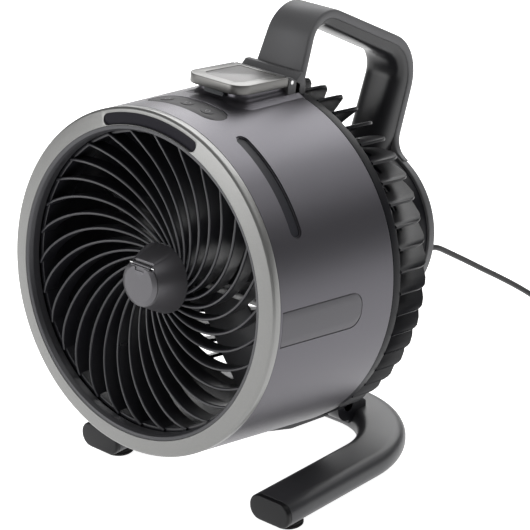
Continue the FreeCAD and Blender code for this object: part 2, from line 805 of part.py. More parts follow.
def make_lid():
    width = "2 * lid_half_width"
    depth = "lid_back - lid_front"
    tall = "lid_top - lid_bottom"
    corner = "lid_corner"
    low = "lid_bottom"
    body_box = box(("-lid_half_width", "lid_front + lid_corner", low), (width, "%s - lid_corner" % depth, tall))
    nose_box = box(("lid_corner - lid_half_width", "lid_front", low), ("%s - 2 * lid_corner" % width, depth, tall))
    corners = [
        cylinder(corner, tall, ("%d * (lid_half_width - lid_corner)" % side, "lid_front + lid_corner", low), UPRIGHT)
        for side in (-1, 1)
    ]
    pin = ("lid_pin_back", "lid_pin_up")
    knuckle = cylinder(3.3, 42, (-21, pin[0], pin[1]), ACROSS)
    web = box((-21, "lid_back - 2", "lid_pin_up - 2.5"), (42, "lid_pin_back - lid_back + 1", 5))
    bore = cylinder("lid_pin_radius + pin_play", 60, (-30, pin[0], pin[1]), ACROSS)
    recess = lid_plate()
    frame = cut(fuse(body_box, nose_box, *corners, knuckle, web), bore, recess)
    finish("tank_lid_frame", frame, head_frame())
    finish("tank_lid_panel", lid_plate(), head_frame())
    flange = cylinder(16, 0.7, (0, "filler_back", "lid_bottom - 0.7"), UPRIGHT)
    plug = cylinder(12.2, 4.6, (0, "filler_back", "lid_bottom - 5.3"), UPRIGHT)
    finish("tank_lid_seal", fuse(flange, plug), head_frame())
    finish("lid_hinge_pin", cylinder("lid_pin_radius", 56, (-28, pin[0], pin[1]), ACROSS), head_frame())
    ears = []
    for side in (-1, 1):
        low_x = 21.3 if side > 0 else -27.3
        ears.append(cylinder(3.3, 6, (low_x, pin[0], pin[1]), ACROSS))
        ears.append(box((low_x, "lid_pin_back - 2.4", "boss_top - 9"), (6, 12, "lid_pin_up - boss_top + 9")))
    step = box((-27.3, "lid_pin_back + 4.6", "boss_top - 9"), (54.6, 5, "lid_pin_up - boss_top + 9.6"))
    length = "drum_end - ring_side + 6"
    under = cone("ring_radius", "drum_rear_radius + 0.2", length, (0, "ring_side", 0))
    hole = cylinder("lid_pin_radius", 60, (-30, pin[0], pin[1]), ACROSS)
    finish("lid_hinge_block", cut(fuse(*ears, step), under, hole), head_frame())
    latch = box((-9, "lid_front + 3.2", "lid_bottom - 4"), (18, 2.6, 4))
    finish("lid_latch", latch, head_frame())


def lid_plate():
    """The panel let into the lid's top: a plate with rounded front corners."""
    half = "lid_half_width - 9"
    front = "lid_front + 9"
    depth = "lid_back - lid_front - 12"
    thick = "2.4"
    low = "lid_top - 2.4"
    plate = box(("-(%s)" % half, "%s + 7" % front, low), ("2 * (%s)" % half, "%s - 7" % depth, thick))
    nose = box(("7 - (%s)" % half, front, low), ("2 * (%s) - 14" % half, depth, thick))
    rounds = [
        cylinder(7, thick, ("%d * (%s - 7)" % (side, half), "%s + 7" % front, low), UPRIGHT)
        for side in (-1, 1)
    ]
    return fuse(plate, nose, *rounds)


# ---------------------------------------------------------------- handle

FRONT_ROOT = (126.4, 120)
FRONT_TOP = (148.8, 193.1)
REAR_TOP = (280.8, 143.1)
REAR_ROOT = (259.0, 50)
HANDLE_RADII = (27, 38)


def inset_line(corners, depth):
    """The open line through the corners, moved to its right by depth."""
    normals = []
    for a, b in zip(corners, corners[1:]):
        along = (b - a).normalize()
        normals.append(Vector(along.y, -along.x, 0))
    moved = [corners[0] + normals[0] * depth]
    for i in range(1, len(corners) - 1):
        both = normals[i - 1] + normals[i]
        moved.append(corners[i] + both * (depth / (1 + normals[i - 1].dot(normals[i]))))
    moved.append(corners[-1] + normals[-1] * depth)
    return moved


def rounded_edges(corners, radii, closed):
    """Straight runs joined by tangent arcs; radii has one entry for each corner, 0 for a sharp one."""
    count = len(corners)
    cuts = []
    for i, radius in enumerate(radii):
        here = corners[i]
        before = corners[i - 1]
        after = corners[(i + 1) % count]
        if radius == 0 or (not closed and i in (0, count - 1)):
            cuts.append((here, None, here))
            continue
        inward = (before - here).normalize()
        onward = (after - here).normalize()
        half = inward.getAngle(onward) / 2
        reach = radius / math.tan(half)
        bisector = (inward + onward).normalize()
        middle = here + bisector * (radius / math.sin(half) - radius)
        cuts.append((here + inward * reach, middle, here + onward * reach))
    edges = []
    for i, (first, middle, last) in enumerate(cuts):
        if middle is not None:
            edges.append(Part.Arc(first, middle, last).toShape())
        if i == count - 1 and not closed:
            break
        following = cuts[(i + 1) % count][0]
        if (following - last).Length > 1e-6:
            edges.append(Part.LineSegment(last, following).toShape())
    return edges


def side_slab(corners, radii, half_width):
    """A closed outline in the head's side plane, as thick as the handle's width."""
    flat = [Vector(-half_width, a, u) for a, u in corners]
    wire = Part.Wire(rounded_edges(flat, radii, True))
    return Part.Face(wire).extrude(Vector(2 * half_width, 0, 0))


def handle_width():
    """The strap's width seen along the fan: even over the top and rear, wider down the front arm."""
    half = number("handle_half_width")
    root = number("handle_root_half_width")
    flat = [(-half, 40), (half, 40), (half, 200), (-half, 200)]
    flare = [(-root, 100), (root, 100), (root, 128), (half, 182), (half, 200), (-half, 200), (-half, 182), (-root, 128)]
    solids = []
    for outline, start, end in ((flat, 100, 300), (flare, 100, 168)):
        corners = [Vector(x, start, u) for x, u in outline]
        wire = Part.makePolygon(corners + corners[:1])
        solids.append(Part.Face(wire).extrude(Vector(0, end - start, 0)))
    fillet = number("handle_fillet")
    across = half + fillet
    rim = number("cover_radius")
    up = math.sqrt((rim + fillet) ** 2 - across ** 2)
    foot = across * rim / (rim + fillet)
    skirt = Part.makeBox(2 * foot, 132, up - 40, Vector(-foot, 168, 40))
    along = Vector(0, 1, 0)
    hollows = [Part.makeCylinder(fillet, 140, Vector(side * across, 165, up), along) for side in (-1, 1)]
    return solids[0].fuse([solids[1], skirt.cut(hollows)])


def make_handle():
    outline = [Vector(a, u, 0) for a, u in (FRONT_ROOT, FRONT_TOP, REAR_TOP, REAR_ROOT)]
    depth = number("handle_shell")
    inner = inset_line(outline, depth)
    corners = [(p.x, p.y) for p in outline] + [(p.x, p.y) for p in reversed(inner)]
    front_bend, rear_bend = HANDLE_RADII
    radii = [0, front_bend, rear_bend, 0, 0, rear_bend - depth, front_bend - depth, 0]
    reach = number("handle_half_width") + number("handle_fillet")
    shell = side_slab(corners, radii, reach).common(handle_width())

    gap = [(140.0, 118), (151.5, 174.5), (258.5, 133.0), (235.0, 55)]
    grip_corners = [(p.x, p.y) for p in inner] + list(reversed(gap))
    grip_radii = [0, front_bend - depth, rear_bend - depth, 0, 0, 16, 9, 0]
    grip = side_slab(grip_corners, grip_radii, number("grip_half_width"))

    along = Vector(0, 1, 0)
    drum = Part.makeCylinder(number("drum_rear_radius"), 74, Vector(0, 98, 0), along)
    cover = Part.makeCylinder(number("cover_radius"), 100, Vector(0, 204, 0), along)
    computed("handle_shell", shell.cut([drum, cover]), head_frame())
    computed("handle_grip", grip.cut([drum, cover]), head_frame())


# ---------------------------------------------------------------- pivot

def pivot_in_head():
    """The tilt axis seen from the head's own frame: its place along the axis and its height."""
    lean = math.radians(number("tilt"))
    back = number("pivot_back")
    up = number("pivot_height") - number("ring_height")
    return back * math.cos(lean) - up * math.sin(lean), back * math.sin(lean) + up * math.cos(lean)


def make_pivot():
    along, up = pivot_in_head()
    radius = number("barrel_radius")
    arm = padded("pivot_arm", "YZ_Plane", [
        ("drum_end - 20", "-(drum_rear_radius - 6)"),
        ("drum_end - 20", "-(drum_rear_radius + 1.5)"),
        ("drum_end + 26", "-(drum_rear_radius + 9)"),
        (along, up - radius),
        (along, up + radius),
        (along - 14, up + radius),
        (along - 26, up + 3),
    ], 56)
    barrel = cylinder("barrel_radius", "2 * barrel_half", ("-barrel_half", along, up), ACROSS)
    saddle = cylinder("drum_rear_radius + 0.1", "90", (0, "drum_end - 30", 0))
    bore = cylinder("pin_radius + pin_play", 100, (-50, along, up), ACROSS)
    finish("pivot_bracket", cut(fuse(arm, barrel), saddle, bore), head_frame())

    place = ("pivot_back", "pivot_height")
    pin = cylinder("pin_radius", "2 * (barrel_half + lug_wall + 0.6)", ("-(barrel_half + lug_wall + 0.6)",) + place, ACROSS)
    finish("pivot_pin", pin, stand_frame())
    lugs = []
    for side in (-1, 1):
        low = "barrel_half + 0.6" if side > 0 else "-(barrel_half + lug_wall + 0.6)"
        lugs.append(cylinder("barrel_radius + 1", "lug_wall", (low,) + place, ACROSS))
        lugs.append(box((low, "pivot_back", "tube_bottom + 12"), ("lug_wall", 22, 16)))
    hole = cylinder("pin_radius", 120, (-60,) + place, ACROSS)
    yoke = cut(fuse(*lugs), hole, PARTS["stand_tube_blank"])
    finish("pivot_yoke", yoke, stand_frame())
    washers = []
    for low in ("barrel_half + 0.05", "-(barrel_half + 0.55)"):
        washer = cylinder("barrel_radius - 1", 0.5, (low,) + place, ACROSS)
        washers.append(cut(washer, cylinder("pin_radius", 120, (-60,) + place, ACROSS)))
    finish("friction_washers", compound(washers), stand_frame())


# ---------------------------------------------------------------- stand

def rounded_section(sketch, across, up, half_width, half_height, corner):
    """A rounded rectangle about a point, drawn as lines and quarter arcs."""
    centre = (number(across), number(up))
    wide, tall, round_ = number(half_width), number(half_height), number(corner)
    corners = [(1, -1), (1, 1), (-1, 1), (-1, -1)]
    arcs = []
    for i, (sx, sy) in enumerate(corners):
        middle = Vector(centre[0] + sx * (wide - round_), centre[1] + sy * (tall - round_), 0)
        start = -math.pi / 2 + i * math.pi / 2
        circle = Part.Circle(middle, Vector(0, 0, 1), round_)
        arcs.append(sketch.addGeometry(Part.ArcOfCircle(circle, start, start + math.pi / 2), False))
        for kind, text, value in (
            ("DistanceX", "%s + %d * (%s - (%s))" % (across, sx, half_width, corner), middle.x),
            ("DistanceY", "%s + %d * (%s - (%s))" % (up, sy, half_height, corner), middle.y),
        ):
            row = sketch.addConstraint(Sketcher.Constraint(kind, -1, 1, arcs[-1], 3, value))
            sketch.setExpression("Constraints[%d]" % row, formula(text))
    for i in range(4):
        arc = sketch.Geometry[arcs[i]]
        following = sketch.Geometry[arcs[(i + 1) % 4]]
        line = sketch.addGeometry(Part.LineSegment(arc.EndPoint, following.StartPoint), False)
        sketch.addConstraint(Sketcher.Constraint("Tangent", arcs[i], 2, line, 1))
        sketch.addConstraint(Sketcher.Constraint("Tangent", line, 2, arcs[(i + 1) % 4], 1))
    row = sketch.addConstraint(Sketcher.Constraint("Radius", arcs[0], round_))
    sketch.setExpression("Constraints[%d]" % row, formula(corner))


def make_stand():
    """A U of oval tube swept along straight legs, two bends and the rear bar."""
    middle = "tube_bottom + tube_tall / 2"
    body = doc.addObject("PartDesign::Body", "stand_tube")
    section = sketch_on(body, "XZ_Plane", "-leg_front")
    rounded_section(section, "leg_across", middle, "tube_width / 2", "tube_tall / 2", "tube_corner")
    path = sketch_on(body, "XY_Plane", middle)
    leg, front, bar, bend = (number(t) for t in ("leg_across", "leg_front", "bar_back", "bend_radius"))
    corners = [Vector(leg, front, 0), Vector(leg, bar, 0), Vector(-leg, bar, 0), Vector(-leg, front, 0)]
    turn_right = Part.ArcOfCircle(Part.Circle(Vector(leg - bend, bar - bend, 0), Vector(0, 0, 1), bend), 0, math.pi / 2)
    turn_left = Part.ArcOfCircle(
        Part.Circle(Vector(bend - leg, bar - bend, 0), Vector(0, 0, 1), bend), math.pi / 2, math.pi
    )
    runs = [
        path.addGeometry(Part.LineSegment(corners[0], Vector(leg, bar - bend, 0)), False),
        path.addGeometry(turn_right, False),
        path.addGeometry(Part.LineSegment(Vector(leg - bend, bar, 0), Vector(bend - leg, bar, 0)), False),
        path.addGeometry(turn_left, False),
        path.addGeometry(Part.LineSegment(Vector(-leg, bar - bend, 0), corners[3]), False),
    ]
    for first, second in zip(runs, runs[1:]):
        path.addConstraint(Sketcher.Constraint("Coincident", first, 2, second, 1))
    for place, which, texts in (
        (runs[0], 1, ("leg_across", "leg_front")),
        (runs[1], 3, ("leg_across - bend_radius", "bar_back - bend_radius")),
        (runs[3], 3, ("bend_radius - leg_across", "bar_back - bend_radius")),
        (runs[4], 2, ("-leg_across", "leg_front")),
    ):
        for kind, text in zip(("DistanceX", "DistanceY"), texts):
            row = path.addConstraint(Sketcher.Constraint(kind, -1, 1, place, which, number(text)))
            path.setExpression("Constraints[%d]" % row, formula(text))
    pipe = body.newObject("PartDesign::AdditivePipe", "bend")
    pipe.Profile = section
    pipe.Spine = path
    doc.recompute()
    PARTS["stand_tube_blank"] = body
    holes = [
        cylinder(1.6, 12, (across, back, "tube_bottom - 1"), UPRIGHT)
        for across, back in foot_screw_places()
    ]
    finish("stand_tube", cut(body, *holes), stand_frame())


def foot_screw_places():
    return [
        ("leg_across", "foot_back"), ("-leg_across", "foot_back"),
        ("rear_foot_half - 10", "rear_foot_back"), ("10 - rear_foot_half", "rear_foot_back"),
    ]


def make_caps_and_feet():
    middle = "tube_bottom + tube_tall / 2"
    caps = []
    for side in ("leg_across", "-leg_across"):
        body = doc.addObject("PartDesign::Body", "leg_end_cap")
        sketch = sketch_on(body, "XZ_Plane", "-leg_front")
        rounded_section(sketch, side, middle, "tube_width / 2", "tube_tall / 2", "tube_corner")
        pad = body.newObject("PartDesign::Pad", "pad")
        pad.Profile = sketch
        bind(pad, Length="cap_wall")
        caps.append(body)
    finish("leg_end_caps", compound(caps), stand_frame())
    feet = []
    for side in ("leg_across", "-leg_across"):
        lower = cylinder("foot_radius", 4.2, (side, "foot_back", 0), UPRIGHT)
        upper = cone("foot_radius", "foot_radius - 1.8", "tube_bottom - 4.2", (side, "foot_back", 4.2), UPRIGHT)
        hole = cylinder(1.6, 12, (side, "foot_back", -1), UPRIGHT)
        sink = cylinder(4.4, 4.6, (side, "foot_back", -1), UPRIGHT)
        feet.append(cut(fuse(lower, upper), hole, sink))
    finish("front_feet", compound(feet), stand_frame())
    pad = slot_block("rear_foot_half", 7, 0, "tube_bottom", (0, "rear_foot_back", 0), UPRIGHT)
    tools = []
    for across, back in foot_screw_places()[2:]:
        tools.append(cylinder(1.6, 12, (across, back, -1), UPRIGHT))
        tools.append(cylinder(4.4, 4.6, (across, back, -1), UPRIGHT))
    finish("rear_foot", cut(pad, *tools), stand_frame())
    screws = []
    for across, back in foot_screw_places():
        shank = cylinder(1.6, 14, (across, back, 3.6), UPRIGHT)
        top = cylinder(3.9, 1.4, (across, back, 2.2), UPRIGHT)
        screws.append(fuse(shank, top))
    finish("foot_screws", compound(screws), stand_frame())


# ---------------------------------------------------------------- power lead

# Points of the free stretch, from the plug to the coil, before the whole is centred.
CORD_POINTS = [
    (40, 311, 122.8), (40.6, 333, 108.9),
    (41.2, 355, 94.6), (41.8, 377, 80.7), (42.6, 399, 66.2), (43.6, 420, 51.4),
    (45.0, 440, 36.0), (46.8, 458, 21.6), (48.8, 474, 10.4), (50.4, 488, 4.4), (51.0, 507, 2.4),
]


def cord_radii(points):
    """The largest tangent arc at each corner of the lead: 0.45 of the shorter run beside it."""
    radii = [0]
    for before, here, after in zip(points, points[1:], points[2:]):
        turn = (here - before).getAngle(after - here)
        shorter = min((here - before).Length, (after - here).Length)
        radii.append(0.45 * shorter / math.tan(turn / 2))
    return radii + [0]


def make_lead():
    exit_place = (number("jack_across"), number("cover_back") + 22, number("jack_up"))
    lean = Rotation(Vector(1, 0, 0), -number("tilt"))
    out = lean.multVec(Vector(0, 1, 0))
    start = lean.multVec(Vector(*exit_place)) + Vector(0, 0, number("ring_height"))
    points = [start, start + out * 13.2] + [Vector(*p) for p in CORD_POINTS]
    radii = cord_radii(points)
    print("lead radii", [round(r, 1) for r in radii])
    path = Part.Wire(rounded_edges(points, radii, False))
    section = Part.Wire(Part.Circle(points[0], out, number("cord_size") / 2).toShape())
    lead = path.makePipeShell([section], True, False)
    swept = path.Length * math.pi * number("cord_size") ** 2 / 4
    print("lead length", path.Length, "volume ratio", lead.Volume / swept)
    computed("cord", lead, stand_frame())


def make_coil():
    """The wound bundle as one ring, and the end of the lead that leaves its top for the adapter."""
    centre = ("coil_across", "coil_back", 0)
    ring = tube("coil_middle + coil_half", "coil_middle - coil_half", 0, "2 * coil_half", UPRIGHT)
    finish("cord_coil", put(ring, centre), stand_frame())
    tail = cylinder("cord_size / 2", 37.4, ("coil_across + 4.6", "coil_back - 22.4", 16), ACROSS)
    finish("cord_tail", tail, stand_frame())


def make_plug():
    barrel = cylinder(2.75, 9, ("jack_across", "cover_back - 9", "jack_up"))
    grip = cylinder(4.6, 14, ("jack_across", "cover_back", "jack_up"))
    relief = cone(3.6, 2.5, 8, ("jack_across", "cover_back + 14", "jack_up"))
    finish("dc_plug", fuse(barrel, grip, relief), head_frame())


def make_adapter():
    low = ("coil_across + 42", "coil_back - 36", 0)
    block = box(low, (44, 72, 27))
    finish("power_adapter", block, stand_frame())
    prongs = [
        box(("coil_across + %g" % (42 + across), "coil_back + 36", 12.7), (1.6, 16, 6.4))
        for across in (15, 27.4)
    ]
    finish("adapter_prongs", compound(prongs), stand_frame())


make_drum()
make_front_ring()
make_grille()
make_hub()
make_duct()
make_fan()
make_motor()
make_rear()
make_tank()
make_lid()
make_handle()
make_stand()
make_pivot()
make_caps_and_feet()
make_lead()
make_coil()
make_plug()
make_adapter()
del PARTS["stand_tube_blank"]

doc.recompute()
faults = [o.Label for o in doc.Objects if "Invalid" in o.State or "Error" in o.State]
if faults:
    raise RuntimeError("failed features: " + ", ".join(faults))
for name, thing in PARTS.items():
    if thing.Shape.isNull() or not thing.Shape.isValid() or not thing.Shape.Solids:
        raise RuntimeError("bad shape: " + name)

os.makedirs("parts", exist_ok=True)
for name, thing in PARTS.items():
    thing.Shape.exportStep("parts/%s.step" % name)
    bounds = thing.Shape.BoundBox
    print("%-18s %2d solids %9.0f mm3" % (name, len(thing.Shape.Solids), thing.Shape.Volume), bounds)
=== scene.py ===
import json
import math

import bmesh
import bpy
from mathutils import Matrix, Vector


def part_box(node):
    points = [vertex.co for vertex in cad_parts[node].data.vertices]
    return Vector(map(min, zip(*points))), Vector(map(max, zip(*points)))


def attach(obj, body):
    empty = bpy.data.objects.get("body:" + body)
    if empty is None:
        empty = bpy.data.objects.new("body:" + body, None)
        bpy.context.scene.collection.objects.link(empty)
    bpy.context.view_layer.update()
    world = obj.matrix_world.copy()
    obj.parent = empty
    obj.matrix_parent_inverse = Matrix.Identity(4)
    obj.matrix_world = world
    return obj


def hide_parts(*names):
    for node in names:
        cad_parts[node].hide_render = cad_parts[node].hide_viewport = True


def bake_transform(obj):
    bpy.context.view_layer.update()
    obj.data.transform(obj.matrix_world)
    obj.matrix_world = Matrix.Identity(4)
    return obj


# The looks of a portable misting fan: a drum-shaped head that tilts on a U of tube.
# Head pieces are drawn in millimetres as (across, back along the fan's axis, up) from the
# centre of the front ring; stand pieces as (across, back, up) from the floor. Both frames are
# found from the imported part, and every mesh is then moved into the part's own frame.

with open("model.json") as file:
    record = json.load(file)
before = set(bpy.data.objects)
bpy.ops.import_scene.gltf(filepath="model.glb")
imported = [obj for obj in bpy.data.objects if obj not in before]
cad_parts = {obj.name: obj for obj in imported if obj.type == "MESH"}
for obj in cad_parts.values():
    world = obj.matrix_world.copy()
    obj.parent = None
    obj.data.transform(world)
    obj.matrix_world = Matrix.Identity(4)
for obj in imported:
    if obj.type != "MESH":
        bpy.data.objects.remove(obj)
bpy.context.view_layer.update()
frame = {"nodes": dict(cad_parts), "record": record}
MM = 0.001


def joint(name):
    return next(j for j in frame["record"]["behaviour"]["joints"] if j["name"] == name)


spin = joint("impeller_spin")
BACK = Vector(spin["axis"]).normalized()
ACROSS = Vector((1, 0, 0))
UP = ACROSS.cross(BACK)
RING_NOSE = 2.65
LEG_FRONT = 44


def along_axis(node):
    """How far a CAD node reaches along the fan's axis from the fan joint, in metres."""
    start = Vector(spin["pos_m"])
    return [(v.co - start).dot(BACK) for v in frame["nodes"][node].data.vertices]


CENTRE = Vector(spin["pos_m"]) + BACK * (min(along_axis("front_ring")) + RING_NOSE * MM)
HEAD = Matrix.Translation(CENTRE) @ Matrix((ACROSS, BACK, UP)).transposed().to_4x4() @ Matrix.Scale(MM, 4)
STAND_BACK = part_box("stand_tube")[0][1] - LEG_FRONT * MM
STAND = Matrix.Translation((0, STAND_BACK, 0)) @ Matrix.Scale(MM, 4)


# ---------------------------------------------------------------- outlines and meshes

def outline(corners, steps=6):
    """A closed outline through (x, y, radius) corners, each rounded by its own arc."""
    flat = [Vector(c[:2]) for c in corners]
    points = []
    for i, corner in enumerate(corners):
        radius = corner[2] if len(corner) > 2 else 0
        here, before, after = flat[i], flat[i - 1], flat[(i + 1) % len(flat)]
        if radius == 0:
            points.append(here)
            continue
        inward = (before - here).normalized()
        onward = (after - here).normalized()
        half = inward.angle(onward) / 2
        centre = here + (inward + onward).normalized() * radius / math.sin(half)
        first = here + inward * radius / math.tan(half) - centre
        last = here + onward * radius / math.tan(half) - centre
        swing = first.angle(last)
        for k in range(steps + 1):
            t = k / steps
            share = first * math.sin((1 - t) * swing) + last * math.sin(t * swing)
            points.append(centre + share / math.sin(swing))
    return points


def polar(radius, back, angle):
    return Vector((radius * math.cos(angle), back, radius * math.sin(angle)))


def lathe(profile, segments, closed=True):
    """Turns (radius, back) points about the fan's axis."""
    bm = bmesh.new()
    rings = []
    for k in range(segments):
        angle = 2 * math.pi * k / segments
        rings.append([bm.verts.new(polar(p[0], p[1], angle)) for p in profile])
    count = len(profile)
    for k in range(segments):
        here, there = rings[k], rings[(k + 1) % segments]
        for i in range(count if closed else count - 1):
            j = (i + 1) % count
            bm.faces.new((here[i], here[j], there[j], there[i]))
    bmesh.ops.remove_doubles(bm, verts=bm.verts, dist=1e-4)
    return bm


def prism(points, low, high, place):
    """A flat outline raised from low to high; place turns (x, y, height) into a position."""
    bm = bmesh.new()
    bottom = [bm.verts.new(place(p[0], p[1], low)) for p in points]
    top = [bm.verts.new(place(p[0], p[1], high)) for p in points]
    bm.faces.new(bottom)
    bm.faces.new(list(reversed(top)))
    for i in range(len(points)):
        j = (i + 1) % len(points)
        bm.faces.new((bottom[j], bottom[i], top[i], top[j]))
    return bm


def side_on(a, u, across):
    return Vector((across, a, u))


def from_above(x, a, u):
    return Vector((x, a, u))


def circle(radius, sides):
    turns = [2 * math.pi * k / sides for k in range(sides)]
    return [(radius * math.cos(t), radius * math.sin(t)) for t in turns]


def tube(points, offsets):
    """A closed tube along points that never stand upright. Its section is given as (across, up) offsets."""
    rows = []
    for i, here in enumerate(points):
        before = points[max(i - 1, 0)]
        after = points[min(i + 1, len(points) - 1)]
        along = (after - before).normalized()
        aside = along.cross(Vector((0, 0, 1))).normalized()
        lift = aside.cross(along).normalized()
        rows.append([here + aside * a + lift * b for a, b in offsets])
    return grid(rows, wrap=True)


def cross_rod(low, high, back, up, radius, sides):
    """A round rod across the fan."""
    return tube([Vector((x, back, up)) for x in (low, high)], circle(radius, sides))


def long_rod(across, up, front, back, radius, sides):
    """A round rod along the fan's axis."""
    return tube([Vector((across, a, up)) for a in (front, back)], circle(radius, sides))


def grid(rows, wrap=False, capped=True):
    """A skin over rows of positions. wrap joins each row's end to its start, and capped closes its two ends."""
    bm = bmesh.new()
    made = [[bm.verts.new(p) for p in row] for row in rows]
    count = len(rows[0])
    for here, there in zip(made, made[1:]):
        for i in range(count if wrap else count - 1):
            j = (i + 1) % count
            bm.faces.new((here[i], here[j], there[j], there[i]))
    if wrap and capped:
        bm.faces.new(list(reversed(made[0])))
        bm.faces.new(made[-1])
    return bm


def joined(*parts):
    """One mesh from several, which it uses up."""
    bm = bmesh.new()
    for part in parts:
        mesh = bpy.data.meshes.new("part")
        part.to_mesh(mesh)
        part.free()
        bm.from_mesh(mesh)
        bpy.data.meshes.remove(mesh)
    return bm


def turned_copies(bm, count, start=0.0):
    """Copies of a mesh spaced round the fan's axis."""
    mesh = bpy.data.meshes.new("one")
    bm.to_mesh(mesh)
    bm.free()
    out = bmesh.new()
    for k in range(count):
        copy = mesh.copy()
        copy.transform(Matrix.Rotation(start + 2 * math.pi * k / count, 4, "Y"))
        out.from_mesh(copy)
        bpy.data.meshes.remove(copy)
    bpy.data.meshes.remove(mesh)
    return out


def shape(bm, name="shape"):
    """An object from a mesh that is still in millimetres."""
    bmesh.ops.recalc_face_normals(bm, faces=bm.faces)
    mesh = bpy.data.meshes.new(name)
    bm.to_mesh(mesh)
    bm.free()
    made = bpy.data.objects.new(name, mesh)
    bpy.context.scene.collection.objects.link(made)
    return made


def settle(made):
    """Applies an object's modifiers to its mesh."""
    done = bpy.data.meshes.new_from_object(made.evaluated_get(bpy.context.evaluated_depsgraph_get()))
    made.modifiers.clear()
    made.data = done
    return made


def carve(made, cutter, how="DIFFERENCE"):
    """Cuts a mesh out of an object, or adds it with how="UNION"."""
    tool = shape(cutter, "cutter")
    step = made.modifiers.new("carve", "BOOLEAN")
    step.operation = how
    step.solver = "EXACT"
    step.object = tool
    settle(made)
    bpy.data.objects.remove(tool)
    return made


def soften(made, width, segments=2, angle=32):
    """Rounds the edges that turn by more than angle degrees."""
    step = made.modifiers.new("soften", "BEVEL")
    step.width = width
    step.segments = segments
    step.limit_method = "ANGLE"
    step.angle_limit = math.radians(angle)
    step.use_clamp_overlap = True
    return settle(made)


def weld(made):
    """Merges an object's coinciding points, and drops the empty faces between them."""
    bm = bmesh.new()
    bm.from_mesh(made.data)
    bmesh.ops.remove_doubles(bm, verts=bm.verts, dist=1e-4)
    bm.to_mesh(made.data)
    bm.free()
    return made


def piece(made, name, body, finish, stands_for=(), matrix=HEAD, sharp=38):
    """Moves a shape into the part's frame and hangs it on its body, if it is given one."""
    made.name = name
    made.data.name = name
    made.data.transform(matrix)
    made.data.polygons.foreach_set("use_smooth", [True] * len(made.data.polygons))
    made.data.set_sharp_from_angle(angle=math.radians(sharp))
    made.data.materials.clear()
    made.data.materials.append(finish)
    if body:
        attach(made, body)
    if stands_for:
        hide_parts(*stands_for)
    return made


# ---------------------------------------------------------------- shapes on the drum's skin

DRUM_FRONT, DRUM_FRONT_RADIUS = 6.2, 127
DRUM_DEPTH, DRUM_WIDENING = 119.5, 4
# Distances round the drum are measured at this radius.
WRAP_RADIUS = 129.0


def drum_radius(back):
    """The drum widens a little from its ring to its rear seam."""
    return DRUM_FRONT_RADIUS + (back - DRUM_FRONT) * DRUM_WIDENING / DRUM_DEPTH


def wrapped(stations, radius_low, radius_high, centre_angle, centre_back, round_drum=True, rim=0.0):
    """A block wrapped on the drum. Each station is (distance along, half width), and the stations run
    round the drum or along its depth. radius_low and radius_high are offsets from the drum's surface,
    and rim draws the top's edge down so that it looks pressed in place."""
    rows = []
    for along, half in stations:
        top, bottom = [], []
        for share in (-1, -0.94, -0.5, 0, 0.5, 0.94, 1):
            side = half * share
            back = centre_back + (side if round_drum else along)
            surface = drum_radius(back)
            angle = centre_angle + (along if round_drum else side) / WRAP_RADIUS
            sink = rim if abs(share) == 1 else 0
            top.append(polar(surface + radius_high - sink, back, angle))
            bottom.append(polar(surface + radius_low, back, angle))
        rows.append(top + list(reversed(bottom)))
    return grid(rows, wrap=True)


def slot_stations(half_length, half_width, steps=10):
    """Stations of an outline with two round ends."""
    straight = half_length - half_width
    turns = [math.pi / 2 * k / steps for k in range(steps + 1)]
    right = [(straight + half_width * math.sin(t), max(half_width * math.cos(t), 0.05)) for t in turns]
    left = [(-s, w) for s, w in reversed(right)]
    middle = [(straight * (k / 12 * 2 - 1), half_width) for k in range(1, 12)]
    return left + middle + right


# ---------------------------------------------------------------- materials

def material(name, colour, rough, metallic=0.0, specular=0.5, tint=0.06, tint_scale=18.0,
             grain=0.05, grain_scale=2600.0, rough_spread=0.06, stretch=None):
    """A finish with soft changes of tone and gloss and a fine surface grain."""
    made = bpy.data.materials.new(name)
    made.use_nodes = True
    nodes, links = made.node_tree.nodes, made.node_tree.links
    shader = nodes["Principled BSDF"]
    shader.inputs["Metallic"].default_value = metallic
    shader.inputs["Specular IOR Level"].default_value = specular
    place = nodes.new("ShaderNodeTexCoord")
    source = place.outputs["Object"]
    broad = nodes.new("ShaderNodeTexNoise")
    broad.inputs["Scale"].default_value = tint_scale
    broad.inputs["Detail"].default_value = 3
    links.new(source, broad.inputs["Vector"])
    tone = nodes.new("ShaderNodeMix")
    tone.data_type = "RGBA"
    tone.inputs["A"].default_value = [c * (1 - tint) for c in colour] + [1]
    tone.inputs["B"].default_value = [min(c * (1 + tint), 1) for c in colour] + [1]
    links.new(broad.outputs["Fac"], tone.inputs["Factor"])
    links.new(tone.outputs["Result"], shader.inputs["Base Color"])
    fine = nodes.new("ShaderNodeTexNoise")
    fine.inputs["Scale"].default_value = grain_scale
    fine.inputs["Detail"].default_value = 2
    if stretch:
        scaled = nodes.new("ShaderNodeMapping")
        scaled.inputs["Scale"].default_value = stretch
        links.new(source, scaled.inputs["Vector"])
        links.new(scaled.outputs["Vector"], fine.inputs["Vector"])
    else:
        links.new(source, fine.inputs["Vector"])
    gloss = nodes.new("ShaderNodeMapRange")
    gloss.inputs["To Min"].default_value = max(rough - rough_spread, 0.02)
    gloss.inputs["To Max"].default_value = min(rough + rough_spread, 1)
    links.new((fine if stretch else broad).outputs["Fac"], gloss.inputs["Value"])
    links.new(gloss.outputs["Result"], shader.inputs["Roughness"])
    bump = nodes.new("ShaderNodeBump")
    bump.inputs["Strength"].default_value = grain
    bump.inputs["Distance"].default_value = 0.0004
    links.new(fine.outputs["Fac"], bump.inputs["Height"])
    links.new(bump.outputs["Normal"], shader.inputs["Normal"])
    return made


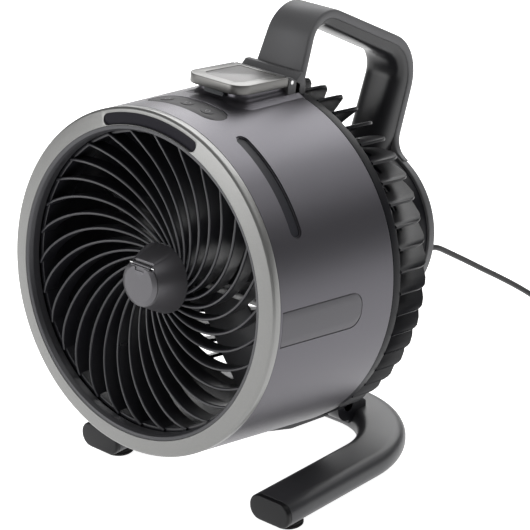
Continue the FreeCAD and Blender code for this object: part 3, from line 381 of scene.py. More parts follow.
DRUM = material("drum_paint", (0.100, 0.096, 0.108), 0.36, metallic=0.75, tint=0.05, tint_scale=900,
                grain=0.10, grain_scale=5200)
BADGE = material("badge_paint", (0.080, 0.077, 0.086), 0.40, metallic=0.4, tint=0.03,
                 grain=0.10, grain_scale=5200)
SILVER = material("ring_silver", (0.23, 0.23, 0.225), 0.33, metallic=0.6, specular=0.25, tint=0.07,
                  tint_scale=900, grain=0.10, grain_scale=5200)
BEZEL = material("ring_bezel", (0.052, 0.052, 0.057), 0.38, metallic=0.3, tint=0.04)
BLACK = material("guard_black", (0.018, 0.018, 0.022), 0.30, tint=0.1)
HUB = material("hub_black", (0.105, 0.102, 0.110), 0.34, metallic=0.5, grain_scale=3200)
FIN = material("fin_black", (0.007, 0.007, 0.009), 0.36, specular=0.12, tint=0.08,
               grain=0.10, grain_scale=3200)
HANDLE = material("handle_grey", (0.130, 0.130, 0.134), 0.52, metallic=0.4, specular=0.08, tint=0.04,
                  grain=0.12, grain_scale=3400)
GRIP = material("grip_black", (0.014, 0.014, 0.016), 0.34, specular=0.4, grain=0.03)
NICKEL = material("lid_nickel", (0.155, 0.153, 0.148), 0.32, metallic=0.85, tint=0.02, grain=0.03,
                  stretch=(1, 14, 1))
INLAY = material("lid_inlay", (0.135, 0.132, 0.131), 0.40, metallic=0.6, tint=0.03, stretch=(1, 14, 1))
LENS = material("smoked_lens", (0.012, 0.011, 0.016), 0.40, specular=0.08, tint=0.05, grain=0.02)
GAUGE = material("gauge_lens", (0.030, 0.030, 0.036), 0.40, specular=0.1, tint=0.08, grain=0.02)
PANEL = material("panel_grey", (0.050, 0.048, 0.052), 0.50, specular=0.2, tint=0.05,
                 grain=0.10, grain_scale=3600)
MARK = material("panel_marks", (0.30, 0.30, 0.31), 0.5, tint=0.02, grain=0.02)
TUBE = material("stand_black", (0.044, 0.044, 0.048), 0.38, specular=0.45, tint=0.08,
                grain=0.08, grain_scale=2800, rough_spread=0.04)
CAP = material("cap_black", (0.007, 0.007, 0.008), 0.38, specular=0.25, tint=0.08,
               grain=0.08, grain_scale=2800)
RUBBER = material("rubber", (0.010, 0.010, 0.010), 0.75, specular=0.2, tint=0.1,
                  grain=0.3, grain_scale=1500)
STEEL = material("steel", (0.62, 0.62, 0.62), 0.28, metallic=1.0, tint=0.03, stretch=(20, 1, 1))
FAN = material("fan_grey", (0.110, 0.110, 0.118), 0.32, tint=0.05, grain=0.04)
DUCT = material("duct_black", (0.012, 0.012, 0.015), 0.30, tint=0.08, grain=0.04)
CLEAR = material("tank_smoke", (0.05, 0.055, 0.06), 0.25, tint=0.03, grain=0.02)
SOFT = material("silicone", (0.5, 0.5, 0.5), 0.5, tint=0.03)
BRONZE = material("bronze", (0.6, 0.42, 0.2), 0.3, metallic=1.0, tint=0.05)
BOARD = material("board_green", (0.02, 0.16, 0.06), 0.4, tint=0.1)
CELLS = material("cell_wrap", (0.05, 0.12, 0.35), 0.35, tint=0.05, grain=0.03)
LEAD = material("lead_black", (0.008, 0.008, 0.009), 0.42, specular=0.25, tint=0.1,
                grain=0.08, grain_scale=2400)


# ---------------------------------------------------------------- ring and drum

DISPLAY_RADIUS, DISPLAY_HALF_WIDTH = 119, 4.35
DISPLAY_HALF_SPAN = math.radians(39.5 / 2)
TOP = math.pi / 2


def display_stations():
    """(angle, half width) along the display's curved slot, with its two round ends."""
    middle = [(TOP + (-1 + k / 14) * DISPLAY_HALF_SPAN, DISPLAY_HALF_WIDTH) for k in range(29)]
    ends = []
    for side in (-1, 1):
        for t in [math.pi / 2 * k / 8 for k in range(1, 9)]:
            reach = DISPLAY_HALF_SPAN + DISPLAY_HALF_WIDTH * math.sin(t) / DISPLAY_RADIUS
            ends.append((TOP + side * reach, DISPLAY_HALF_WIDTH * math.cos(t)))
    return sorted(middle + ends)


def display_block(low, high, trim):
    """A block in the shape of the display's slot, trimmed all round."""
    loops = []
    for angle, half in display_stations():
        wide = max(half - trim, 0.03)
        corners = ((-wide, low), (wide, low), (wide, high), (-wide, high))
        loops.append([polar(DISPLAY_RADIUS + step, back, angle) for step, back in corners])
    return grid(loops, wrap=True)


def front_ring():
    face = outline([
        (127, 6.1), (127, 0.7, 1.1), (125.6, -0.45, 1.2), (114.6, -2.55, 0.3), (114.3, -2.3), (114.3, 2.4),
        (121.4, 3.2), (121.4, 11.6), (123.8, 11.6), (123.8, 6.1),
    ], 5)
    ring = carve(shape(lathe(face, 288)), display_block(-5, 8, 0))
    piece(soften(ring, 0.35), "ring_front", "head", SILVER, ["front_ring"])
    lens = shape(display_block(-1.0, 2.6, 0.12))
    piece(soften(lens, 0.3), "ring_display", "head", LENS, ["display_window"])
    lip = outline([
        (114.2, -2.35, 0.3), (114.2, 2.2), (111.0, 2.2), (111.0, 7.0), (110.0, 7.0), (110.2, 1.4, 1.0),
        (111.6, -1.6, 0.8),
    ], 3)
    piece(shape(lathe(lip, 192)), "ring_bezel", "head", BEZEL)


PANEL_SLOT = slot_stations(35, 11.5)
PANEL_BACK = 36.5
WINDOW_ANGLE = math.radians(46.5)
WINDOW_BACK = 33
WINDOW_SLOT = slot_stations(43.5, 5.5)
BADGE_ANGLE = 0


def badge_stations(front, back, half, nose, steps=8):
    """Stations from a square front end to a rear end with round corners."""
    straight = back - nose
    run = [(front + (straight - front) * k / steps, half) for k in range(steps + 1)]
    turns = [math.pi / 2 * k / steps for k in range(1, steps + 1)]
    return run + [(straight + nose * math.sin(t), half - nose + nose * math.cos(t)) for t in turns]


def even_normals(made):
    """Makes the drum's outer skin shade as one smooth cone, whatever its faces look like."""
    mesh = made.data
    into = HEAD.inverted()
    turn = HEAD.to_3x3().normalized()
    normals = [Vector(n.vector) for n in mesh.corner_normals]
    for face in mesh.polygons:
        middle = into @ face.center
        outward = Vector((middle.x, 0, middle.z)).normalized()
        off_skin = abs(Vector((middle.x, middle.z)).length - drum_radius(middle.y))
        if off_skin < 0.4 and face.normal.dot(turn @ outward) > 0.995:
            for corner in face.loop_indices:
                at = into @ mesh.vertices[mesh.loops[corner].vertex_index].co
                forward = Vector((at.x, at.z)).length * DRUM_WIDENING / DRUM_DEPTH
                normals[corner] = turn @ Vector((at.x, -forward, at.z)).normalized()
    mesh.normals_split_custom_set(normals)


def drum():
    profile = outline([(127, 6.35, 0.4), (131, 125.4, 0.7), (128.4, 125.4), (124.5, 6.35)], 4)
    shell = shape(lathe(profile, 320))
    carve(shell, wrapped(PANEL_SLOT, -8, 4, TOP, PANEL_BACK))
    carve(shell, wrapped(WINDOW_SLOT, -8, 4, WINDOW_ANGLE, WINDOW_BACK))
    carve(shell, wrapped(badge_stations(8.5, 92, 13.3, 11), -0.7, 4, BADGE_ANGLE, 0, round_drum=False))
    soften(shell, 0.4, 2, 40)
    even_normals(piece(shell, "drum", "head", DRUM, ["drum_shell"]))
    inlay = wrapped(badge_stations(8.9, 91.6, 12.95, 10.7), -1.6, -0.12, BADGE_ANGLE, 0, round_drum=False, rim=0.25)
    piece(soften(shape(inlay), 0.2, 1, 40), "badge_panel", "head", BADGE, ["side_badge"])


BUTTON_BASE, BUTTON_RADIUS = 120.6, 5.2


def controls():
    panel = shape(wrapped(slot_stations(34.6, 11.1), -2.5, -0.15, TOP, PANEL_BACK, rim=0.3))
    piece(panel, "button_panel", "head", PANEL, ["control_panel"])
    for name, turn in (("power_button", 8.7), ("speed_button", 0), ("mist_button", -8.7)):
        angle = TOP + math.radians(turn)
        out = polar(1, 0, angle)
        aside = Vector((math.sin(angle), 0, -math.cos(angle)))
        base = polar(BUTTON_BASE, PANEL_BACK, angle)
        top = drum_radius(PANEL_BACK) + 0.12 - BUTTON_BASE
        rows = []
        for lift, radius in ((0, BUTTON_RADIUS), (top - 0.5, BUTTON_RADIUS), (top - 0.1, 4.95), (top, 4.5)):
            rows.append([base + out * lift + aside * x + Vector((0, y, 0)) for x, y in circle(radius, 32)])
        piece(shape(grid(rows, wrap=True)), name + "_cap", name, PANEL, [name])
        button_mark(name, base + out * (top + 0.02), aside, out)


def button_mark(name, middle, aside, out):
    """A small plain mark on each button: a switch symbol, three blades, a drop."""
    back = Vector((0, 1, 0))

    def stroke(points, width=0.34):
        rows = []
        for i, (x, y) in enumerate(points):
            before = Vector(points[max(i - 1, 0)])
            after = Vector(points[min(i + 1, len(points) - 1)])
            along = (after - before).normalized()
            side = Vector((-along.y, along.x)) * width / 2
            low, high = Vector((x, y)) - side, Vector((x, y)) + side
            rows.append([middle + aside * p.x - back * p.y + out * lift
                         for p, lift in ((low, 0), (high, 0), (high, 0.06), (low, 0.06))])
        return grid(rows, wrap=True)

    def arc(start, end, radius, cx=0.0, cy=0.0):
        angles = [math.radians(start + (end - start) * k / 20) for k in range(21)]
        return [(cx + radius * math.cos(t), cy + radius * math.sin(t)) for t in angles]

    if name == "power_button":
        strokes = [stroke(arc(125, 415, 1.9)), stroke([(0, 0.6), (0, 2.5)])]
    elif name == "speed_button":
        strokes = []
        for angle in (90, 210, 330):
            t = math.radians(angle)
            strokes.append(stroke(arc(angle - 60, angle + 80, 1.0, 1.3 * math.cos(t), 1.3 * math.sin(t))))
    else:
        strokes = [stroke(arc(150, 390, 1.5, 0, -0.5) + [(0, 2.6), (-1.3, 0.25)])]
    piece(shape(joined(*strokes)), name + "_mark", name, MARK)


def level_gauge():
    rim = shape(wrapped(slot_stations(43.3, 5.3), -3.4, -0.9, WINDOW_ANGLE, WINDOW_BACK))
    carve(rim, wrapped(slot_stations(42.4, 4.45), -6, 4, WINDOW_ANGLE, WINDOW_BACK))
    piece(soften(rim, 0.3, 1, 40), "gauge_rim", "head", DRUM)
    lens = shape(wrapped(slot_stations(42.2, 4.3), -3.2, -1.5, WINDOW_ANGLE, WINDOW_BACK, rim=0.3))
    piece(lens, "gauge_lens", "head", GAUGE, ["level_window"])


# ---------------------------------------------------------------- guard and hub

def swept_line(inner, outer, bow, sweep):
    """An arc of radius bow that starts at angle 0 and has turned by sweep degrees at the outer radius.
    Gives a function that finds the arc's point at a radius."""
    turn = math.radians(sweep)
    start = Vector((inner, 0))
    end = Vector((outer * math.cos(turn), outer * math.sin(turn)))
    chord = end - start
    reach = math.sqrt(bow ** 2 - (chord.length / 2) ** 2)
    side = math.copysign(1, sweep)
    centre = (start + end) / 2 + Vector((-chord.y, chord.x)).normalized() * reach * side
    away = centre.length

    def at(radius):
        spread = math.acos((away ** 2 + radius ** 2 - bow ** 2) / (2 * away * radius))
        angle = math.atan2(centre.y, centre.x) - side * spread
        return Vector((math.cos(angle), math.sin(angle))) * radius

    return at


def plate(line, radii, section_at):
    """A curved plate along a swept line. section_at gives (aside, back) offsets at a radius."""
    rows = []
    for radius in radii:
        here = line(radius)
        along = (line(radius + 0.2) - line(radius - 0.2)).normalized()
        side = Vector((-along.y, along.x))
        rows.append([Vector((here.x + side.x * w, back, here.y + side.y * w)) for w, back in section_at(radius)])
    return grid(rows, wrap=True)


def along_table(table, radius):
    """The value at a radius in a table of (radius, value) with straight lines between its rows."""
    for (r0, a0), (r1, a1) in zip(table, table[1:]):
        if radius <= r1:
            return a0 + (a1 - a0) * (radius - r0) / (r1 - r0)
    return table[-1][1]


# How far back the guard's front edges lie, by radius.
DISH = ((22, 22.6), (26.3, 21.4), (45, 16.6), (75, 9.8), (96, 5.9), (104, 5.6), (111, 7.5))
GUARD_BACK = 29.8
VANE_COUNT, VANE_START, VANE_END, VANE_BOW, VANE_SWEEP = 30, 24.7, 109.2, 79.0, 68


def vane_section(radius):
    """A vane's section: a rounded bead at the front and a thinner web behind it."""
    front = along_table(DISH, radius)
    deep = min(front + 13.5, GUARD_BACK)
    bead = ((0.35, 0), (0.8, 0.25), (1.1, 0.8), (1.1, 1.5), (0.85, 2.6))
    right = [(w, front + back) for w, back in bead] + [(0.7, deep)]
    return right + [(-w, back) for w, back in reversed(right)]


def guard():
    radii = [VANE_START + (VANE_END - VANE_START) * k / 27 for k in range(28)]
    vane = plate(swept_line(VANE_START, VANE_END, VANE_BOW, VANE_SWEEP), radii, vane_section)
    rim = lathe(outline([(107.6, 9, 0.6), (110.5, 9, 0.6), (110.5, GUARD_BACK), (107.6, GUARD_BACK)], 3), 192)
    collar = lathe(outline([(22.6, 22.2), (26.2, 22.2, 0.5), (26.2, GUARD_BACK), (22.6, GUARD_BACK)], 3), 96)
    piece(shape(joined(turned_copies(vane, VANE_COUNT), rim, collar)),
          "guard", "head", BLACK, ["front_grille"], sharp=60)


# The nozzle door's pin, as (back, up).
DOOR_PIN = (1.6, 13.4)


def rectangle(half_width, low, high):
    return [(-half_width, low), (half_width, low), (half_width, high), (-half_width, high)]


def hub():
    body = shape(lathe(outline([
        (11.2, 1.2), (17.2, 1.1, 0.5), (26.2, 21.6, 0.8), (26.2, 22.1), (21.9, 22.1), (21.9, 30), (11.2, 30),
    ], 4), 128))
    carve(body, prism([(-2, 13.9), (22.5, 25.6), (22.5, 40), (-2, 40)], -60, 15.5, side_on))
    soften(body, 0.5, 3, 30)
    carve(body, prism(rectangle(9.4, -2, 3.6), 11.4, 30, from_above))
    piece(soften(body, 0.25, 2, 60), "hub", "head", HUB, ["hub_housing"])

    face = outline([(0, -1.55), (13.4, -1.55, 0.5), (17.0, 0.3, 0.5), (17.0, 0.8), (0, 0.8)], 3)
    door = shape(lathe(face, 96))
    carve(door, prism(rectangle(30, -6, 6), 12.0, 30, from_above))
    carve(door, prism(rectangle(4.2, -6, -0.6), 9.6, 30, from_above))
    soften(door, 0.3, 2, 30)
    knuckle = cross_rod(-8.7, 8.7, *DOOR_PIN, 1.45, 20)
    web = prism(rectangle(8.7, -0.8, 0.8), 9.5, 12.9, from_above)
    piece(shape(joined(knuckle, web)), "door_hinge", "nozzle_door", HUB)
    piece(door, "door", "nozzle_door", HUB, ["nozzle_cover"])
    pin = shape(cross_rod(-11.6, 11.6, *DOOR_PIN, 0.8, 20))
    piece(pin, "door_pin", "head", STEEL, ["nozzle_cover_pin"])


# ---------------------------------------------------------------- fan

# The blade from root to tip: share of the way out, chord, pitch in degrees and lean round the axis.
BLADE = ((0, 36, 52, 0), (0.25, 41, 45, 3), (0.5, 46, 38, 6), (0.75, 50, 32, 9), (1, 54, 27, 12))
BLADE_COUNT, BLADE_ROOT, BLADE_TIP, BLADE_MIDDLE = 5, 27, 103.8, 71
BLADE_FRONT, BLADE_BACK, BLADE_THICK, BLADE_CAMBER = 47, 93, 1.7, 4.2


def impeller():
    rows = []
    for share, chord, pitch, lean in BLADE:
        radius = BLADE_ROOT + (BLADE_TIP - BLADE_ROOT) * share
        turn = math.radians(pitch)
        top, under = [], []
        for s in [-1 + k / 4 for k in range(9)]:
            run = s * chord / 2
            camber = BLADE_CAMBER * (1 - s * s)
            back = BLADE_MIDDLE + run * math.cos(turn) * 0.52 + camber * math.sin(turn)
            back = min(max(back, BLADE_FRONT), BLADE_BACK)
            angle = (run * math.sin(turn) + lean - camber * math.cos(turn)) / radius + math.pi / 2
            top.append(polar(radius, back, angle))
            under.append(polar(radius, back + BLADE_THICK, angle + 0.4 / radius))
        rows.append(top + list(reversed(under)))
    wings = turned_copies(grid(rows, wrap=True), BLADE_COUNT, math.radians(74))
    core = lathe(outline([
        (3.2, 52), (22, 50.4, 4), (28, 54.5, 5), (28, 93.6, 0.6), (26, 93.6), (26, 57), (3.2, 57),
    ], 5), 96)
    piece(shape(joined(wings, core)), "fan_wheel", "impeller", FAN, ["impeller"], sharp=50)


# ---------------------------------------------------------------- rear

# The rear fins' front and back edges, as (radius, back).
FIN_FRONT = ((65.4, 194.2), (94, 178), (117, 155.7), (121.8, 134.4), (131, 134.4))
FIN_BACK = ((65.4, 203.8), (68, 203), (98, 191), (112, 181.4), (125.2, 170.2), (129.2, 164.7),
            (130.4, 161.2), (131, 156.7))
FIN_COUNT, FIN_START, FIN_END, FIN_BOW, FIN_SWEEP = 50, 65.5, 133, 300, -43.2
FIN_RADII = (65.5, 72, 80, 88, 94, 98, 103, 108, 112, 115, 117, 119.5, 121.8, 123.5, 125.2, 127.2, 129.2,
             130.3, 131)
# The power jack's axis, as (across, up).
JACK = (40, -16)


def fin_section(radius):
    """A fin's section: flat sides with its rear edge rounded, and thinner at its outer end."""
    front, back = along_table(FIN_FRONT, radius), along_table(FIN_BACK, radius)
    half = 1.3 if radius < 130 else 0.95
    right = [(half, front), (half, back - 0.9), (half * 0.82, back - 0.3), (half * 0.35, back)]
    return right + [(-w, a) for w, a in reversed(right)]


def rear():
    seam = lathe(outline([(121.2, 125.9), (130.6, 125.9, 0.5), (130.6, 134.1, 0.8), (121.2, 134.1)], 4), 288)
    inner = lathe(outline([(64.2, 194.2), (67.9, 194.2, 0.6), (67.9, 203.8, 0.6), (64.2, 203.8)], 3), 128)
    fin = plate(swept_line(FIN_START, FIN_END, FIN_BOW, FIN_SWEEP), FIN_RADII, fin_section)
    piece(shape(joined(seam, inner, turned_copies(fin, FIN_COUNT))),
          "rear_fins", "head", FIN, ["rear_grille"], sharp=40)
    house = outline([(0, 186.1), (63.9, 186.1, 1.5), (63.9, 251.9), (61.4, 251.9), (61.4, 188.6), (0, 188.6)], 4)
    piece(shape(lathe(house, 160, closed=False)), "rear_house", "head", FIN, ["rear_housing"])
    cover = shape(lathe(outline([
        (0, 252.2), (66, 252.2, 0.8), (66, 259.9, 2.2), (60.6, 259.9, 0.8), (59.4, 258.9, 0.8), (0, 258.9),
    ], 4), 160))
    for screw in (60, 120, 240, 300):
        at = polar(57, 0, math.radians(screw))
        carve(cover, long_rod(at.x, at.z, 256.2, 262, 3.5, 24))
    carve(cover, long_rod(*JACK, 250, 264, 5.15, 28))
    piece(soften(cover, 0.3, 2, 40), "rear_disc", "head", HANDLE, ["rear_cover"])


# ---------------------------------------------------------------- handle

# The strap's outer corners and the corners of the gap inside the grip, as (back, up).
STRAP = [Vector(p) for p in ((126.4, 120), (148.8, 193.1), (280.8, 143.1), (259.0, 50))]
GAP = [Vector(p) for p in ((140.0, 118), (151.5, 174.5), (258.5, 133.0), (235.0, 55))]
STRAP_BENDS = (27, 38)
GAP_BENDS = (9, 16)
STRAP_THICK, STRAP_HALF_WIDTH, GRIP_HALF_WIDTH = 7, 19, 18.1
FLARE, FLARE_TOP, FLARE_HEIGHT = 4, 182, 54
FILLET_RADIUS, FILLET_TOP, FILLET_HEIGHT = 18, 75.4, 17.4


def inset(corners, depth):
    """The open line through the corners, moved to its right by depth."""
    normals = []
    for a, b in zip(corners, corners[1:]):
        along = (b - a).normalized()
        normals.append(Vector((along.y, -along.x)))
    moved = [corners[0] + normals[0] * depth]
    for i in range(1, len(corners) - 1):
        both = normals[i - 1] + normals[i]
        moved.append(corners[i] + both * (depth / (1 + normals[i - 1].dot(normals[i]))))
    moved.append(corners[-1] + normals[-1] * depth)
    return moved


def bent(corners, bends, steps=16):
    """Points of an open line of three straights with two rounded corners between them."""
    radii = (0, *bends, 0)
    round_points = outline([(p.x, p.y, r) for p, r in zip(corners, radii)], steps)
    arcs = [round_points[1:steps + 2], round_points[steps + 2:2 * steps + 3]]
    straights = ((corners[0], arcs[0][0], 12), (arcs[0][-1], arcs[1][0], 8), (arcs[1][-1], corners[-1], 40))
    line = []
    for k, (a, b, parts) in enumerate(straights):
        line += [a + (b - a) * i / parts for i in range(parts + 1)]
        if k < len(arcs):
            line += arcs[k][1:-1]
    return line


def handle_half_width(at):
    """The strap flares a little at its front root and runs out to the rear cover in a fillet."""
    back, up = at
    in_front = back < 200
    if in_front:
        return STRAP_HALF_WIDTH + FLARE * min(max((FLARE_TOP - up) / FLARE_HEIGHT, 0), 1)
    drop = min(max(FILLET_TOP - up, 0), FILLET_HEIGHT)
    return STRAP_HALF_WIDTH + FILLET_RADIUS - math.sqrt(FILLET_RADIUS ** 2 - drop ** 2)


def handle():
    outer_line = bent(STRAP, STRAP_BENDS)
    middle_line = bent(inset(STRAP, STRAP_THICK), [bend - STRAP_THICK for bend in STRAP_BENDS])
    gap_line = bent(GAP, GAP_BENDS)
    edge = [(1.3, 0.0), (0.45, 0.06), (0.0, 0.2), (0.0, 0.8), (0.45, 0.94), (1.3, 1.0)]
    section = [(1, trim, share) for trim, share in edge] + [(-1, trim, share) for trim, share in reversed(edge)]
    rows = []
    for top, under in zip(outer_line, middle_line):
        half = handle_half_width(top)
        rows.append([side_on(*top.lerp(under, share), side * (half - trim)) for side, trim, share in section])
    shell = shape(grid(rows, wrap=True))
    rows = []
    for top, under in zip(middle_line, gap_line):
        loop = []
        for turn in [math.pi * k / 24 for k in range(25)]:
            wide = math.copysign(abs(math.cos(turn)) ** 0.62, math.cos(turn)) * GRIP_HALF_WIDTH
            loop.append(side_on(*top.lerp(under, math.sin(turn) ** 0.62), wide))
        rows.append(loop)
    grip = shape(grid(rows, wrap=True))
    for made in (shell, grip):
        carve(made, long_rod(0, 0, 90, 172, 131, 192))
        carve(made, long_rod(0, 0, 204, 310, 66, 128))
    piece(shell, "handle_strap", "head", HANDLE, ["handle_shell"], sharp=50)
    piece(grip, "handle_liner", "head", GRIP, ["handle_grip"], sharp=60)


# ---------------------------------------------------------------- lid and filler

# The lid's pin, as (back, up).
LID_PIN = (116.6, 138.2)
# The filler pad's steps from the drum up: half width, front, corner radius, and rise above the drum.
FILLER_STEPS = ((36, 58, 15, -1.0), (30, 62, 12, 0.55), (25, 65.5, 10, 1.595), (23, 67, 9, 3.465),
                (23, 67, 9, None))
FILLER_BACK, FILLER_SHOULDER, FILLER_SEAT = 126, 133.2, 133.8


def lid():
    plan = outline([(-27, 60, 12), (27, 60, 12), (27, 113.2, 0.6), (-27, 113.2, 0.6)], 10)
    body = soften(shape(prism(plan, 135, 142, from_above)), 1.1, 3, 35)
    recess = outline([(-18, 69, 7), (18, 69, 7), (18, 110.2), (-18, 110.2)], 8)
    carve(body, prism(recess, 141.3, 144, from_above))
    piece(soften(body, 0.15, 1, 60), "lid_frame", "tank_lid", NICKEL, ["tank_lid_frame"])
    plan = outline([(-17.8, 69.2, 6.8), (17.8, 69.2, 6.8), (17.8, 110), (-17.8, 110)], 8)
    inlay = soften(shape(prism(plan, 139.8, 141.75, from_above)), 0.25, 2, 35)
    piece(inlay, "lid_plate", "tank_lid", INLAY, ["tank_lid_panel"])
    knuckle = cross_rod(-21, 21, *LID_PIN, 3.25, 32)
    web = prism(rectangle(21, 112.6, 116.6), 136, 140.8, from_above)
    piece(soften(shape(joined(knuckle, web)), 0.3, 2, 50), "lid_knuckle", "tank_lid", HANDLE)


def filler():
    """A pad that rises from the drum in steps to the lid's flat seat."""
    rows = []
    for half, front, corner, rise in FILLER_STEPS:
        plan = outline([
            (-half, front, corner), (half, front, corner), (half, FILLER_BACK, 1), (-half, FILLER_BACK, 1),
        ], 8)
        row = []
        for p in plan:
            surface = math.sqrt(drum_radius(p.y) ** 2 - p.x ** 2)
            up = FILLER_SEAT if rise is None else min(surface + rise, FILLER_SHOULDER)
            row.append(Vector((p.x, p.y, up)))
        rows.append(row)
    piece(shape(grid(rows, wrap=True)), "filler_pad", "head", DRUM, ["filler_boss"], sharp=50)


def hinge_block():
    ear = outline([
        (113.5, 127), (113.5, 139.6, 1.5), (115.4, 141.3, 1), (117.4, 141.3, 1.5), (120.8, 139.2, 1),
        (127, 136, 2), (127, 127),
    ], 4)
    step = outline([
        (121.6, 127), (121.6, 138.2, 0.8), (127, 143.5, 2), (131.5, 143.5, 1), (133.2, 134, 1), (133.2, 127),
    ], 5)
    made = shape(joined(prism(ear, -27.2, -21.4, side_on), prism(ear, 21.4, 27.2, side_on),
                        prism(step, -27.2, 27.2, side_on)))
    piece(soften(made, 0.5, 2, 40), "lid_step", "head", HANDLE, ["lid_hinge_block"])
    pin = shape(cross_rod(-27.9, 27.9, *LID_PIN, 1.5, 24))
    piece(pin, "lid_pin", "head", STEEL, ["lid_hinge_pin"])


# ---------------------------------------------------------------- stand

LEG_ASIDE, BAR_BACK, BEND_RADIUS = 87, 212, 65
TUBE_UP, TUBE_HALF_WIDTH, TUBE_HALF_HEIGHT, TUBE_CORNER = 17.75, 19, 10.25, 9.5
FOOT_BACK = 61.6
FOOT_PROFILE = ((4.5, 0.0), (10.6, 0.0), (11.6, 0.9), (11.7, 2.2), (11.0, 3.0), (11.0, 3.9), (11.6, 4.6),
                (10.9, 6.6), (9.9, 7.5), (3.0, 7.5), (3.0, 3.6), (4.5, 3.6))


def stand_path(front, steps=20):
    """The middle line of the U of tube, from one leg's end round to the other's."""
    points = [Vector((LEG_ASIDE, back, TUBE_UP)) for back in (front, 70, 110)]
    for k in range(steps + 1):
        angle = math.pi / 2 * k / steps
        points.append(Vector((LEG_ASIDE - BEND_RADIUS + BEND_RADIUS * math.cos(angle),
                              BAR_BACK - BEND_RADIUS + BEND_RADIUS * math.sin(angle), TUBE_UP)))
    other = [Vector((-p.x, p.y, p.z)) for p in reversed(points)]
    return points + [Vector((0, BAR_BACK, TUBE_UP))] + other


def oval(shrink=0.0, steps=10):
    """The tube's section as (across, up) offsets, drawn in by shrink."""
    wide, tall, corner = TUBE_HALF_WIDTH - shrink, TUBE_HALF_HEIGHT - shrink, TUBE_CORNER - shrink
    return [(p.x, p.y) for p in outline([
        (wide, -tall, corner), (wide, tall, corner), (-wide, tall, corner), (-wide, -tall, corner)], steps)]


def stand():
    run = stand_path(LEG_FRONT + 0.25)
    piece(soften(shape(tube(run, oval())), 0.5, 2, 50),
          "stand_bend", "stand", TUBE, ["stand_tube"], STAND, sharp=45)
    caps = []
    for side in (-1, 1):
        rows = []
        for back, shrink in ((43.75, 0.35), (43.5, 0.0), (41.6, 0.0), (40.6, 0.35), (40.1, 1.1), (40.0, 2.2)):
            rows.append([Vector((LEG_ASIDE * side + x, back, TUBE_UP + z)) for x, z in oval(shrink)])
        caps.append(grid(rows, wrap=True))
    piece(shape(joined(*caps)), "leg_caps", "stand", CAP, ["leg_end_caps"], STAND, sharp=50)


def round_foot(x, y):
    bm = lathe(FOOT_PROFILE, 48)
    for vert in bm.verts:
        vert.co = Vector((x + vert.co.x, y + vert.co.z, vert.co.y))
    return bm


def feet():
    made = shape(joined(*[round_foot(side * LEG_ASIDE, FOOT_BACK) for side in (-1, 1)]))
    piece(made, "round_feet", "stand", RUBBER, ["front_feet"], STAND, sharp=30)
    pad = outline([(36, 212, 7), (36, 226, 7), (-36, 226, 7), (-36, 212, 7)], 8)
    strip = weld(soften(shape(prism(pad, 0, 7.4, from_above)), 0.9, 2, 35))
    piece(strip, "foot_strip", "stand", RUBBER, ["rear_foot"], STAND)


def pivot():
    at = Vector(joint("head_tilt")["pos_m"])
    hinge = HEAD.inverted() @ at
    a, u = hinge.y, hinge.z
    barrel = shape(cross_rod(-29.3, 29.3, a, u, 12, 48))
    arm = outline([
        (105.7, -125), (105.7, -132.4), (151.7, -140), (a, u - 12), (a, u + 12), (a - 14, u + 12), (a - 26, u + 3),
    ], 4)
    carve(barrel, prism(arm, -28, 28, side_on), "UNION")
    carve(barrel, long_rod(0, 0, 90, 186, 131.2, 256))
    carve(barrel, cross_rod(-60, 60, a, u, 5.05, 32))
    piece(soften(barrel, 0.7, 3, 40), "pivot_arm", "head", BLACK, ["pivot_bracket"])
    hinge = STAND.inverted() @ at
    b = hinge.y
    foot = outline([(b, 20), (b + 21, 20), (b + 21, 33, 4), (b, 48)], 4)
    lugs = bmesh.new()
    for low, high in ((30, 43), (-43, -30)):
        lug = shape(cross_rod(low, high, b, hinge.z, 13, 48))
        soften(carve(lug, prism(foot, low, high, side_on), "UNION"), 0.8, 3, 40)
        lugs.from_mesh(lug.data)
        bpy.data.objects.remove(lug)
    piece(shape(lugs), "pivot_lugs", "stand", BLACK, ["pivot_yoke"], STAND)


# ---------------------------------------------------------------- power lead

# The same route as the part's lead, in millimetres from the stand's own origin.
LEAD_POINTS = [
    (40, 311, 122.8), (40.6, 333, 108.9),
    (41.2, 355, 94.6), (41.8, 377, 80.7), (42.6, 399, 66.2), (43.6, 420, 51.4),
    (45.0, 440, 36.0), (46.8, 458, 21.6), (48.8, 474, 10.4), (50.4, 488, 4.4), (51.0, 507, 2.4),
]
# The lead leaves its plug straight for this far, in metres.
LEAD_STRAIGHT = 0.0132
COIL = Vector((19.4, 522, 0))
# The bundle's turns, first to last, as (radius, height). Each one starts to change into the next at its
# own angle in degrees.
COIL_TURNS = ((31.6, 2.3), (27.0, 2.3), (22.4, 2.3), (22.4, 6.9), (27.0, 6.9), (31.6, 6.9),
              (31.6, 11.5), (27.0, 11.5), (22.4, 11.5), (22.4, 16.0))
TURN_CHANGES = (310, 310, 260, 210, 210, 160, 110, 110, 50)
# The line of the lead's end into the adapter, as (back, up), and the adapter's middle.
TAIL_BACK, TAIL_UP = 499.6, 16
ADAPTER = Vector((83.4, 522))


def coil_points():
    """The coiled length: turns beside and on each other, then the end that leaves its top."""
    points = []
    for step in range(24 * 8 + 19):
        angle = 15.0 * step
        passed = [min(max((angle - 360 * k - change) / 50, 0), 1) for k, change in enumerate(TURN_CHANGES)]
        eased = [t * t * (3 - 2 * t) for t in passed]
        radius, height = COIL_TURNS[0]
        for t, before, after in zip(eased, COIL_TURNS, COIL_TURNS[1:]):
            radius += t * (after[0] - before[0])
            height += t * (after[1] - before[1])
        turn = math.radians(angle)
        points.append(COIL + Vector((radius * math.cos(turn), radius * math.sin(turn), height)))
    return points + [Vector((x, TAIL_BACK, TAIL_UP)) for x in (26, 34, 44, 54, 63)]


